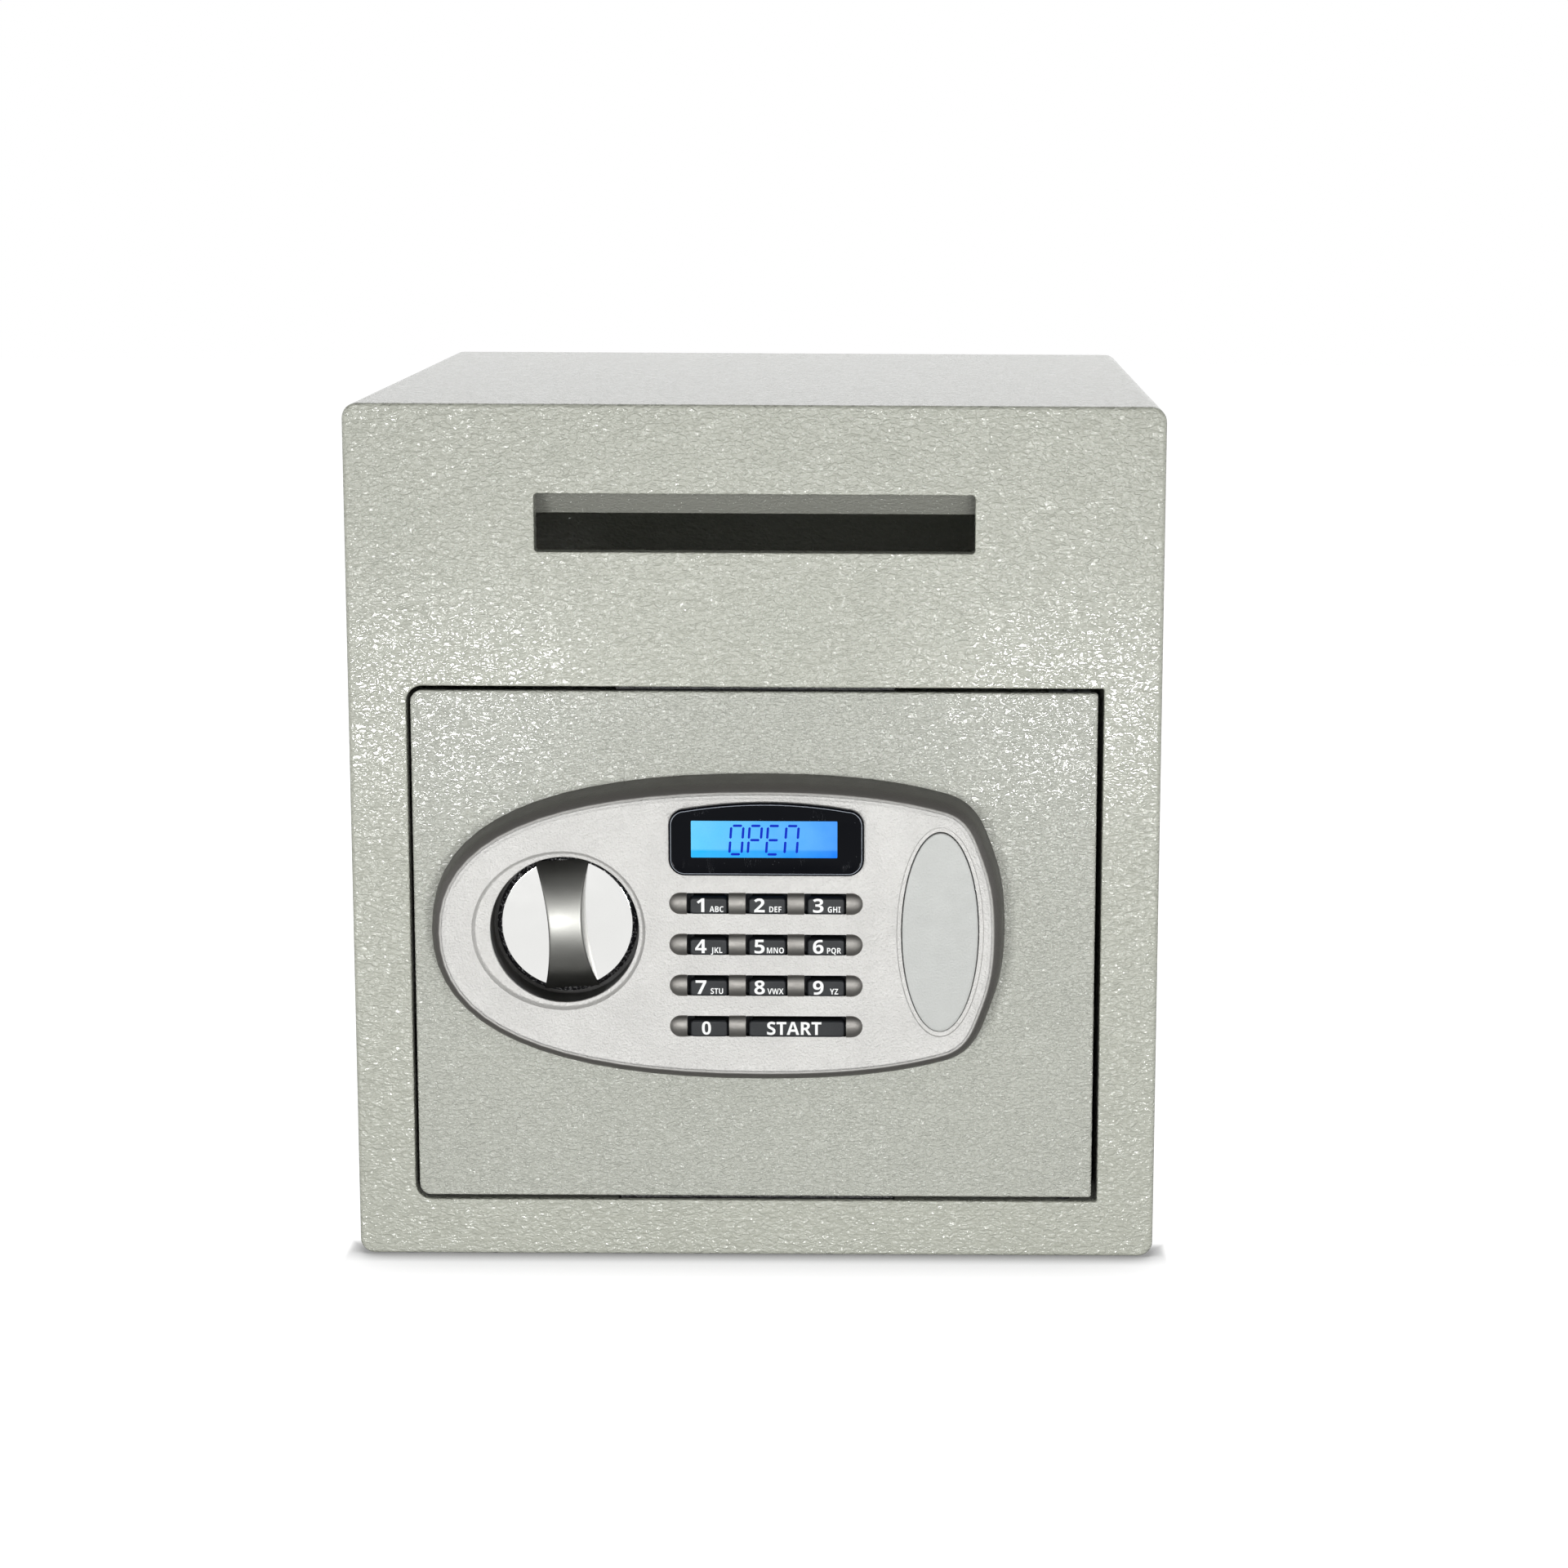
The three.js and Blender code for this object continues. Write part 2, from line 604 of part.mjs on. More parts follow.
function upperBaffle() {
  const foot = slot.top + COLLAR_WALL + UPPER_BAFFLE_ABOVE_COLLAR;
  const back = FRONT_PLATE + UPPER_BAFFLE_REACH;
  const low = slot.top - UPPER_BAFFLE_DROP;
  const bendY = FRONT_PLATE + COLLAR_DEPTH + UPPER_BAFFLE_BEND;
  const bendZ = slot.top + COLLAR_WALL + UPPER_BAFFLE_OVER_COLLAR;
  const profile = new THREE.Shape([
    new THREE.Vector2(FRONT_PLATE, foot),
    new THREE.Vector2(bendY, bendZ),
    new THREE.Vector2(back, low),
    new THREE.Vector2(back + BAFFLE_SHEET, low + BAFFLE_SHEET),
    new THREE.Vector2(bendY + BAFFLE_SHEET / 2, bendZ + BAFFLE_SHEET * Math.SQRT2),
    new THREE.Vector2(FRONT_PLATE + BAFFLE_SHEET, foot + BAFFLE_SHEET),
    new THREE.Vector2(FRONT_PLATE + BAFFLE_SHEET, foot + UPPER_FLANGE),
    new THREE.Vector2(FRONT_PLATE, foot + UPPER_FLANGE)]);
  return piece('upper_slot_baffle', bar(profile, -BAFFLE_WIDTH / 2, BAFFLE_WIDTH / 2), paint);
}

function lowerBaffle() {
  const head = slot.bottom - COLLAR_WALL - LOWER_BAFFLE_BELOW_COLLAR;
  const end = FRONT_PLATE + LOWER_BAFFLE_REACH;
  const fall = head - LOWER_BAFFLE_FALL;
  const flangeFoot = head - (slot.bottom - opening.top) / SPACE_PER_LOWER_FLANGE;
  const profile = new THREE.Shape([
    new THREE.Vector2(FRONT_PLATE, head),
    new THREE.Vector2(FRONT_PLATE, flangeFoot),
    new THREE.Vector2(FRONT_PLATE + BAFFLE_SHEET, flangeFoot),
    new THREE.Vector2(FRONT_PLATE + BAFFLE_SHEET, head - 2 * BAFFLE_SHEET),
    new THREE.Vector2(end, fall - BAFFLE_SHEET),
    new THREE.Vector2(end, fall)]);
  const count = Math.floor(BAFFLE_WIDTH / TOOTH_PITCH);
  const first = -count * TOOTH_PITCH / 2;
  const teeth = Array.from({ length: count }, (_, i) => {
    const x = first + i * TOOTH_PITCH;
    const notch = new THREE.Shape([
      new THREE.Vector2(x + 1, end + 1), new THREE.Vector2(x + TOOTH_PITCH / 2, end - TOOTH_DEPTH),
      new THREE.Vector2(x + TOOTH_PITCH - 1, end + 1)]);
    const geometry = new THREE.ExtrudeGeometry(notch, { depth: LOWER_BAFFLE_FALL, bevelEnabled: false });
    return solid(geometry.translate(0, 0, fall - LOWER_BAFFLE_FALL / 2));
  });
  return piece('lower_slot_baffle', cut(bar(profile, -BAFFLE_WIDTH / 2, BAFFLE_WIDTH / 2), ...teeth), zinc);
}

function floorMat() {
  const x = BODY_WIDTH / 2 - SHELL_WALL - MAT_BORDER;
  const mat = block(-x, x, FRONT_PLATE + MAT_BORDER, BODY_DEPTH - BACK_PLATE - MAT_BORDER,
    SHELL_WALL, SHELL_WALL + MAT_THICKNESS);
  const holes = baseAnchors.map((at) => rod(MAT_HOLE_RADIUS, 'z', at, BODY_DEPTH / 2, SHELL_WALL,
    -1, MAT_THICKNESS + 1));
  return piece('floor_mat', cut(mat, ...holes), felt);
}

// Door pieces that stay still on it

function doorPlate() {
  const corners = [DOOR_CORNER, 0, 0, DOOR_CORNER];
  const shape = roundedRectangle(door.left, door.right, door.bottom, door.top, corners);
  const through = (radius, x, z) => rod(radius, 'y', x, 0, z, -1, DOOR_PLATE + 1);
  const holes = [
    through(SPINDLE_RADIUS + RUNNING_GAP + BUSHING_WALL + FIT, KNOB_X, FEATURE_Z),
    through(LOCK_RADIUS + FIT, COVER_X, FEATURE_Z),
    through(LEAD_HOLE_RADIUS, ...LEAD_START),
  ];
  return piece('door_plate', cut(plate(shape, 0, DOOR_PLATE), ...holes), paint);
}

const posts = [
  [box.left + POST_INSET, box.bottom + POST_INSET], [box.right - POST_INSET, box.bottom + POST_INSET],
  [box.right - POST_INSET, box.top - POST_INSET], [box.left + POST_INSET, box.top - POST_INSET]];

function doorBox() {
  const shape = rectangle(box.left, box.right, box.bottom, box.top);
  shape.holes.push(rectangle(
    box.left + BOX_WALL, box.right - BOX_WALL, box.bottom + BOX_WALL, box.top - BOX_WALL));
  const half = POST_SIZE / 2;
  const walls = plate(shape, DOOR_PLATE, box.back);
  const columns = posts.map(([x, z]) => block(x - half, x + half, DOOR_PLATE, box.back, z - half, z + half));
  const screwHoles = posts.map(([x, z]) => rod(SCREW_RADIUS + FIT, 'y', x, box.back, z,
    -SCREW_LENGTH - 1, 1, 12));
  const boltHoles = boltCentres.map((z) => rod(BOLT_RADIUS + RUNNING_GAP, 'x', box.left, BOLT_Y, z,
    -1, BOX_WALL + 1, 24));
  return piece('door_box', cut(join(walls, ...columns), ...screwHoles, ...boltHoles), zinc);
}

function doorBackCover() {
  const sheet = plate(rectangle(box.left, box.right, box.bottom, box.top), box.back, box.back + COVER_SHEET);
  const standoffs = [
    [CONTROL_LEFT + STANDOFF_INSET, CONTROL_BOTTOM + STANDOFF_INSET],
    [CONTROL_RIGHT - STANDOFF_INSET, CONTROL_BOTTOM + STANDOFF_INSET],
    [CONTROL_LEFT + STANDOFF_INSET, CONTROL_TOP - STANDOFF_INSET],
    [CONTROL_RIGHT - STANDOFF_INSET, CONTROL_TOP - STANDOFF_INSET],
  ].map(([x, z]) => rod(STANDOFF_RADIUS, 'y', x, box.back, z, -CONTROL_STANDOFF, COVER_SHEET / 2, 10));
  const holes = posts.map(([x, z]) => rod(SCREW_RADIUS + FIT, 'y', x, box.back, z, -1, COVER_SHEET + 1, 12));
  const land = HOLDER_WALL + LID_LAND;
  const batteryOpening = block(holder.left + land, holder.right - land,
    box.back - 1, box.back + COVER_SHEET + 1, holder.bottom + land, holder.top - land);
  const resetHole = rod(RESET_RADIUS + RUNNING_GAP, 'y', RESET_X, box.back, RESET_Z, -1, COVER_SHEET + 1);
  return piece('door_back_cover', cut(join(sheet, ...standoffs), ...holes, batteryOpening, resetHole), zinc);
}

function coverScrew(index) {
  const [x, z] = posts[index];
  const top = box.back + COVER_SHEET;
  const profile = [[0, -SCREW_LENGTH], [SCREW_RADIUS, -SCREW_LENGTH], [SCREW_RADIUS, 0],
    [SCREW_HEAD_RADIUS, 0], [SCREW_HEAD_RADIUS, SCREW_HEAD_HEIGHT / 2],
    [SCREW_CROWN_RADIUS, SCREW_HEAD_HEIGHT], [0, SCREW_HEAD_HEIGHT]];
  const [y0, y1] = [top + SCREW_HEAD_HEIGHT / 2, top + SCREW_HEAD_HEIGHT + 1];
  const [long, thin] = [SCREW_DRIVE / 2, SCREW_DRIVE_WIDTH / 2];
  const drive = [block(x - long, x + long, y0, y1, z - thin, z + thin),
    block(x - thin, x + thin, y0, y1, z - long, z + long)];
  return piece(`cover_screw_${index + 1}`, cut(turned(profile, 'y', x, top, z, 10), ...drive), steel);
}

// A rod along the hinge's axis between two heights given in either order.
function hingeRod(radius, one, other) {
  return rod(radius, 'z', hinge.x, hinge.y, 0, Math.min(one, other), Math.max(one, other));
}

// Hinge parts at the top (side 1) and bottom (side -1) of the door.
function hingeBlock(side) {
  const edge = side > 0 ? door.top : door.bottom;
  const [low, high] = side > 0 ? [edge - HINGE_BLOCK_HEIGHT, edge] : [edge, edge + HINGE_BLOCK_HEIGHT];
  const body = block(hinge.x - HINGE_BLOCK_WIDTH / 2, hinge.x + HINGE_BLOCK_WIDTH / 2,
    DOOR_PLATE, DOOR_PLATE + HINGE_BLOCK_DEPTH, low, high);
  const bore = hingeRod(HINGE_PIN_RADIUS + FIT, edge - side * (HINGE_PIN_INSERT + FIT), edge + side);
  return piece(side > 0 ? 'upper_hinge_block' : 'lower_hinge_block', cut(body, bore), steel);
}

function hingePin(side) {
  const edge = side > 0 ? door.top : door.bottom;
  const body = hingeRod(HINGE_PIN_RADIUS, edge - side * HINGE_PIN_INSERT,
    edge + side * (GAP_TOP_BOTTOM + FRAME_WALL + HINGE_PIN_BEYOND_FRAME));
  return piece(side > 0 ? 'upper_hinge_pin' : 'lower_hinge_pin', body, steel);
}

// Control panel

// The panel's outline on the door: an egg with a broad left end and a square-shouldered right end.
function panelOutline() {
  const top = PANEL_HALF_HEIGHT;
  const place = ({ inward, down, pullBack, pullOn }) => {
    const [x, z] = [PANEL_RIGHT - inward, top - down];
    return { x, z, before: [x - pullBack[0], z + pullBack[1]], after: [x + pullOn[0], z - pullOn[1]] };
  };
  const shoulder = place(PANEL_SHOULDER);
  const corner = place(PANEL_CORNER);
  const [crestBack, crestOn] = PANEL_CREST_PULLS;
  const half = new THREE.Path();
  half.moveTo(PANEL_LEFT, 0);
  half.bezierCurveTo(PANEL_LEFT, PANEL_LEFT_PULL, PANEL_CREST_X - crestBack, top, PANEL_CREST_X, top);
  half.bezierCurveTo(PANEL_CREST_X + crestOn, top, ...shoulder.before, shoulder.x, shoulder.z);
  half.bezierCurveTo(...shoulder.after, ...corner.before, corner.x, corner.z);
  half.bezierCurveTo(...corner.after, PANEL_RIGHT, PANEL_RIGHT_PULL, PANEL_RIGHT, 0);
  const upper = half.getPoints(7);
  const lower = upper.slice(1, -1).reverse().map((p) => new THREE.Vector2(p.x, -p.y));
  return [...upper, ...lower].map((p) => new THREE.Vector2(p.x, p.y + PANEL_Z));
}

function bezelOutline(inward = 0) {
  const left = BEZEL_X - BEZEL_WIDTH / 2 + inward;
  const right = BEZEL_X + BEZEL_WIDTH / 2 - inward;
  const bottom = FEATURE_Z + BEZEL_BOTTOM + inward;
  const top = FEATURE_Z + BEZEL_BOTTOM + BEZEL_HEIGHT - inward;
  const r = BEZEL_CORNER - inward;
  const shape = new THREE.Shape();
  shape.moveTo(left + r, bottom);
  shape.lineTo(right - r, bottom);
  shape.absarc(right - r, bottom + r, r, -Math.PI / 2, 0);
  shape.lineTo(right, top - r);
  shape.absarc(right - r, top - r, r, 0, Math.PI / 2);
  shape.quadraticCurveTo(BEZEL_X, top + 2 * BEZEL_ARCH, left + r, top);
  shape.absarc(left + r, top - r, r, Math.PI / 2, Math.PI);
  shape.lineTo(left, bottom + r);
  shape.absarc(left + r, bottom + r, r, Math.PI, Math.PI * 1.5);
  return shape;
}

// Keys: name, column, row from the top, and how many key pitches wide beyond the first.
const keys = [
  ...[1, 2, 3, 4, 5, 6, 7, 8, 9].map((digit) => ({
    name: `key_${digit}`, column: (digit - 1) % 3, row: Math.floor((digit - 1) / 3), span: 0 })),
  { name: 'key_0', column: 0, row: 3, span: 0 },
  { name: 'start_key', column: 1, row: 3, span: 1 },
].map((key) => {
  const left = KEY_FIRST_X - KEY_WIDTH / 2 + key.column * KEY_PITCH;
  return { ...key, left, right: left + KEY_WIDTH + key.span * KEY_PITCH,
    z: FEATURE_Z + KEY_ROW_TOP - key.row * KEY_ROW_PITCH };
});
const keyRows = [0, 1, 2, 3].map((row) => FEATURE_Z + KEY_ROW_TOP - row * KEY_ROW_PITCH);

// The half-round bar that a row of keys is let into.
function keyBar(z) {
  const r = KEY_ROW_HEIGHT / 2;
  const steps = 3;
  const arc = (centre, from, to) => Array.from({ length: steps + 1 }, (_, i) => {
    const angle = from + (to - from) * i / steps;
    return [r * Math.sin(angle), centre - r * Math.cos(angle)];
  });
  const profile = [...arc(KEY_ROW_LEFT + r, 0, Math.PI / 2), ...arc(KEY_ROW_RIGHT - r, Math.PI / 2, Math.PI)];
  const points = profile.map(([radius, along]) => new THREE.Vector2(radius, along));
  const geometry = new THREE.LatheGeometry(points, 12).rotateZ(-Math.PI / 2);
  return solid(geometry.scale(1, KEY_BAR_RISE / r, 1).translate(0, -PANEL_FACE, z));
}

// The oval cover's outline, grown by a distance all round.
const coverEllipse = (outward) => ellipse(
  COVER_X, FEATURE_Z, COVER_HALF_WIDTH + outward, COVER_HALF_HEIGHT + outward);
const boardBosses = [BOARD_LEFT + BOSS_INSET, BOARD_RIGHT - BOSS_INSET].flatMap((x) => (
  [BOARD_BOTTOM + BOSS_INSET, BOARD_TOP - BOSS_INSET].map((z) => [x, z])));

// The outline of the ledge round the knob's well: round on the right, drawn out on the left.
function ledgeOutline(outward) {
  return Array.from({ length: WELL_FACETS }, (_, i) => {
    const angle = i / WELL_FACETS * Math.PI * 2;
    const wide = (Math.cos(angle) < 0 ? LEDGE_LEFT : LEDGE_RADIUS) + outward;
    return new THREE.Vector2(KNOB_X + wide * Math.cos(angle),
      FEATURE_Z + (LEDGE_RADIUS + outward) * Math.sin(angle));
  });
}

// The hollow that sinks the ledge into the panel's face, with sloped sides.
function ledgeHollow() {
  return loft([{ y: -PANEL_FACE - 1, points: ledgeOutline(0) }, { y: -PANEL_FACE, points: ledgeOutline(0) },
    { y: -PANEL_FACE + LEDGE_DEPTH, points: ledgeOutline(-LEDGE_SLOPE) }]);
}

// The floor under the ledge, inside the panel.
function ledgeFloor() {
  const outline = ledgeOutline(LEDGE_WALL);
  return loft([{ y: -PANEL_FACE + 1, points: outline },
    { y: -PANEL_FACE + LEDGE_DEPTH + LEDGE_FLOOR, points: outline }]);
}

function fascia() {
  const outline = panelOutline();
  const crest = PANEL_FACE + PANEL_BEAD;
  const shell = loft([
    { y: 0, points: outline },
    ...PANEL_SIDE_STEPS.map(({ below, inward }) => ({ y: -crest + below, points: inset(outline, inward) })),
    { y: -crest, points: inset(outline, PANEL_CREST_INWARD) },
    { y: -PANEL_FACE, points: inset(outline, PANEL_VALLEY_INWARD) },
  ]);
  const hollow = loft([
    { y: 1, points: inset(outline, PANEL_WALL) },
    { y: -PANEL_FACE + PANEL_WALL, points: inset(outline, PANEL_WALL + PANEL_HOLLOW_TAPER) },
  ]);
  const tubeFront = -PANEL_FACE + 0.5;
  const wellTube = rod(WELL_RADIUS + WELL_WALL, 'y', KNOB_X, 0, FEATURE_Z, tubeFront, 0, WELL_FACETS);
  const pocketTube = plate(coverEllipse(POCKET_WALL - POCKET_LEDGE), tubeFront, 0, COVER_FACETS);
  const bosses = boardBosses.map(([x, z]) => rod(BOSS_RADIUS, 'y', x, 0, z,
    -PANEL_FACE + 1, -BOARD_FACE, 12));
  const plateFace = -PANEL_FACE + COVER_THICKNESS - COVER_GAP;
  const cuts = [
    rod(WELL_RADIUS, 'y', KNOB_X, 0, FEATURE_Z, -PANEL_FACE - 1, 1, WELL_FACETS),
    ledgeHollow(),
    plate(coverEllipse(COVER_RECESS), -PANEL_FACE - 1, -PANEL_FACE + COVER_RECESS_DEPTH, COVER_FACETS),
    plate(coverEllipse(COVER_GAP), -PANEL_FACE - 1, plateFace, COVER_FACETS),
    plate(coverEllipse(-POCKET_LEDGE), -PANEL_FACE - 1, 1, COVER_FACETS),
    plate(bezelOutline(BEZEL_LIP - COVER_GAP), -PANEL_FACE - 1, -PANEL_FACE + PANEL_WALL + 1, 5),
    ...keys.map((key) => block(key.left, key.right,
      -PANEL_FACE - KEY_BAR_RISE - 1, -PANEL_FACE + PANEL_WALL + 1,
      key.z - KEY_ROW_HEIGHT / 2 + KEY_SLOT_MARGIN, key.z + KEY_ROW_HEIGHT / 2 - KEY_SLOT_MARGIN)),
  ];
  const body = join(cut(shell, hollow), wellTube, pocketTube, ledgeFloor(), ...keyRows.map(keyBar), ...bosses);
  const inside = keyRows.map((z) => block(KEY_ROW_LEFT, KEY_ROW_RIGHT,
    -PANEL_FACE + PANEL_WALL, -BOARD_FACE - KEY_ROOM_BEHIND,
    z - KEY_ROW_HEIGHT / 2, z + KEY_ROW_HEIGHT / 2));
  return piece('fascia', cut(body, ...cuts, ...inside), silver);
}

function displayBezel() {
  const front = -PANEL_FACE - BEZEL_FLANGE;
  const flange = plate(bezelOutline(), front, -PANEL_FACE, 5);
  const body = plate(bezelOutline(BEZEL_LIP), -PANEL_FACE - 1, -PANEL_FACE + PANEL_WALL + COVER_GAP, 5);
  const middle = BEZEL_X + WINDOW_X;
  const window = block(middle - WINDOW_WIDTH / 2, middle + WINDOW_WIDTH / 2,
    front - 1, -PANEL_FACE + PANEL_WALL + 1,
    FEATURE_Z + WINDOW_Z - WINDOW_HEIGHT / 2, FEATURE_Z + WINDOW_Z + WINDOW_HEIGHT / 2);
  return piece('display_bezel', cut(join(flange, body), window), black);
}

function displayModule() {
  const middle = BEZEL_X + WINDOW_X;
  const front = -PANEL_FACE + PANEL_WALL + 2 * COVER_GAP;
  const body = block(middle - DISPLAY_WIDTH / 2, middle + DISPLAY_WIDTH / 2, front, -BOARD_FACE,
    FEATURE_Z + WINDOW_Z - DISPLAY_HEIGHT / 2, FEATURE_Z + WINDOW_Z + DISPLAY_HEIGHT / 2);
  return piece('display_module', body, glassBlue);
}

function keypadBoard() {
  const board = block(BOARD_LEFT, BOARD_RIGHT, -BOARD_FACE, -BOARD_FACE + BOARD_THICKNESS,
    BOARD_BOTTOM, BOARD_TOP);
  return piece('keypad_board', board, circuit);
}

const keyFlangeFront = -PANEL_FACE + PANEL_WALL + FIT;

function stemSides(key) {
  const shoulder = (KEY_WIDTH - STEM_WIDTH) / 2;
  return [key.left + shoulder, key.right - shoulder];
}

function keyMat() {
  const margin = KEY_ROW_HEIGHT / 2 + MAT_MARGIN;
  const sheet = block(KEY_ROW_LEFT, KEY_ROW_RIGHT, -BOARD_FACE - MAT_RUBBER, -BOARD_FACE,
    keyRows[3] - margin, keyRows[0] + margin);
  const wells = keys.map((key) => {
    const [left, right] = stemSides(key);
    const half = STEM_HEIGHT / 2 + STEM_CLEARANCE;
    return block(left - STEM_CLEARANCE, right + STEM_CLEARANCE,
      -BOARD_FACE - MAT_RUBBER - 1, -BOARD_FACE + 1, key.z - half, key.z + half);
  });
  return piece('key_mat', cut(sheet, ...wells), rubber);
}

function keyCap(key) {
  const low = key.z - KEY_ROW_HEIGHT / 2 + KEY_GAP;
  const high = key.z + KEY_ROW_HEIGHT / 2 - KEY_GAP;
  const outline = roundedRectangle(key.left + KEY_GAP, key.right - KEY_GAP, low, high, KEY_CORNER);
  const cap = plate(outline, -PANEL_FACE - KEY_PROUD, keyFlangeFront + KEY_FLANGE / 2, 4);
  const flange = block(key.left - KEY_FLANGE_REACH, key.right + KEY_FLANGE_REACH,
    keyFlangeFront, keyFlangeFront + KEY_FLANGE, low - KEY_FLANGE_REACH, high + KEY_FLANGE_REACH);
  const [left, right] = stemSides(key);
  const stem = block(left, right, keyFlangeFront, -BOARD_FACE - KEY_TRAVEL - FIT,
    key.z - STEM_HEIGHT / 2, key.z + STEM_HEIGHT / 2);
  return piece(key.name, join(cap, flange, stem), rubber);
}

function ovalCover() {
  const back = -PANEL_FACE + COVER_THICKNESS - COVER_GAP;
  const face = plate(coverEllipse(0), back - COVER_THICKNESS, back, COVER_FACETS);
  const skirtInset = POCKET_LEDGE + COVER_GAP;
  const skirt = plate(coverEllipse(-skirtInset), back - 0.5, back + COVER_SKIRT, COVER_FACETS);
  const hollow = plate(coverEllipse(-skirtInset - POCKET_WALL), back, back + COVER_SKIRT + 1, COVER_FACETS);
  return piece('oval_cover', cut(join(face, skirt), hollow), coverGrey);
}

// Knob, spindle and crank, drawn about the knob's axis

function knob() {
  const back = -KNOB_BACK;
  const face = -KNOB_FACE;
  const disc = turned([[0, face], [KNOB_FACE_RADIUS, face], [KNOB_RADIUS, face + KNOB_SLOPE],
    [KNOB_RADIUS, back], [0, back]], 'y', 0, 0, 0, 48);
  const grip = new THREE.Shape();
  const end = KNOB_FACE_RADIUS;
  grip.moveTo(-GRIP_END_HALF_WIDTH, -end);
  grip.lineTo(GRIP_END_HALF_WIDTH, -end);
  grip.quadraticCurveTo(2 * GRIP_WAIST_HALF_WIDTH - GRIP_END_HALF_WIDTH, 0, GRIP_END_HALF_WIDTH, end);
  grip.lineTo(-GRIP_END_HALF_WIDTH, end);
  grip.quadraticCurveTo(GRIP_END_HALF_WIDTH - 2 * GRIP_WAIST_HALF_WIDTH, 0, -GRIP_END_HALF_WIDTH, -end);
  const arch = (KNOB_FACE_RADIUS ** 2 + GRIP_RISE ** 2) / (2 * GRIP_RISE);
  const ridge = plate(grip, face - GRIP_RISE - 1, face + 0.5)
    .intersect(rod(arch, 'x', 0, face - GRIP_RISE + arch, 0, -end, end, 96))
    .intersect(rod(end, 'y', 0, 0, 0, face - GRIP_RISE - 1, back, 48));
  const half = SPINDLE_SQUARE / 2 + FIT;
  const socket = block(-half, half, face - SPINDLE_SOCKET_DEPTH, back + 1, -half, half);
  return piece('knob', cut(join(disc, ridge), socket), chrome);
}

function knobSpindle() {
  const half = SPINDLE_SQUARE / 2;
  const front = -KNOB_FACE - SPINDLE_SOCKET_DEPTH + SPINDLE_END_GAP;
  const end = CRANK_Y + CRANK_THICKNESS + SPINDLE_TAIL;
  const round = rod(SPINDLE_RADIUS, 'y', 0, 0, 0, -KNOB_BACK + SPINDLE_SHOULDER_GAP, CRANK_Y - FIT);
  const square = block(-half, half, front, end, -half, half);
  const limit = rod(SPINDLE_RADIUS, 'y', 0, 0, 0, front - 1, end + 1);
  return piece('knob_spindle', join(round, square.intersect(limit)), steel);
}

function crankArm() {
  const angle = crankSwing - KNOB_TILT_DEG * deg;
  const back = CRANK_Y + CRANK_THICKNESS;
  const hub = rod(CRANK_HUB_RADIUS, 'y', 0, 0, 0, CRANK_Y, back);
  const arm = plate(roundedRectangle(-CRANK_ARM_WIDTH / 2, CRANK_ARM_WIDTH / 2, 0,
    CRANK_RADIUS + CRANK_ARM_WIDTH / 2, [0, 0, CRANK_ARM_WIDTH / 2, CRANK_ARM_WIDTH / 2]), CRANK_Y, back, 6);
  const pin = rod(CRANK_PIN_RADIUS, 'y', 0, 0, CRANK_RADIUS, CRANK_Y + 1,
    CARRIAGE_Y + CARRIAGE_PLATE + CRANK_PIN_PROUD);
  const half = SPINDLE_SQUARE / 2 + FIT;
  const hole = block(-half, half, CRANK_Y - 1, back + 1, -half, half);
  const swung = join(arm, pin).rotate([0, angle / deg, 0]);
  return piece('crank_arm', cut(join(hub, swung), hole), steel);
}

function knobBushing() {
  const inner = SPINDLE_RADIUS + RUNNING_GAP;
  const outer = inner + BUSHING_WALL;
  const flangeBack = DOOR_PLATE + BUSHING_FLANGE;
  const end = DOOR_PLATE + BUSHING_SLEEVE;
  const profile = [[inner, 0], [outer, 0], [outer, DOOR_PLATE], [BUSHING_FLANGE_RADIUS, DOOR_PLATE],
    [BUSHING_FLANGE_RADIUS, flangeBack], [outer, flangeBack], [outer, end], [inner, end], [inner, 0]];
  return piece('knob_bushing', turned(profile, 'y', KNOB_X, 0, FEATURE_Z), brass);
}

// Bolt work

function guideStud(name, x) {
  const head = CARRIAGE_Y + CARRIAGE_PLATE + RUNNING_GAP;
  const profile = [[0, DOOR_PLATE], [STUD_RADIUS, DOOR_PLATE], [STUD_RADIUS, head], [STUD_HEAD_RADIUS, head],
    [STUD_HEAD_RADIUS, head + STUD_HEAD], [0, head + STUD_HEAD]];
  return piece(name, turned(profile, 'y', x, 0, FEATURE_Z), steel);
}

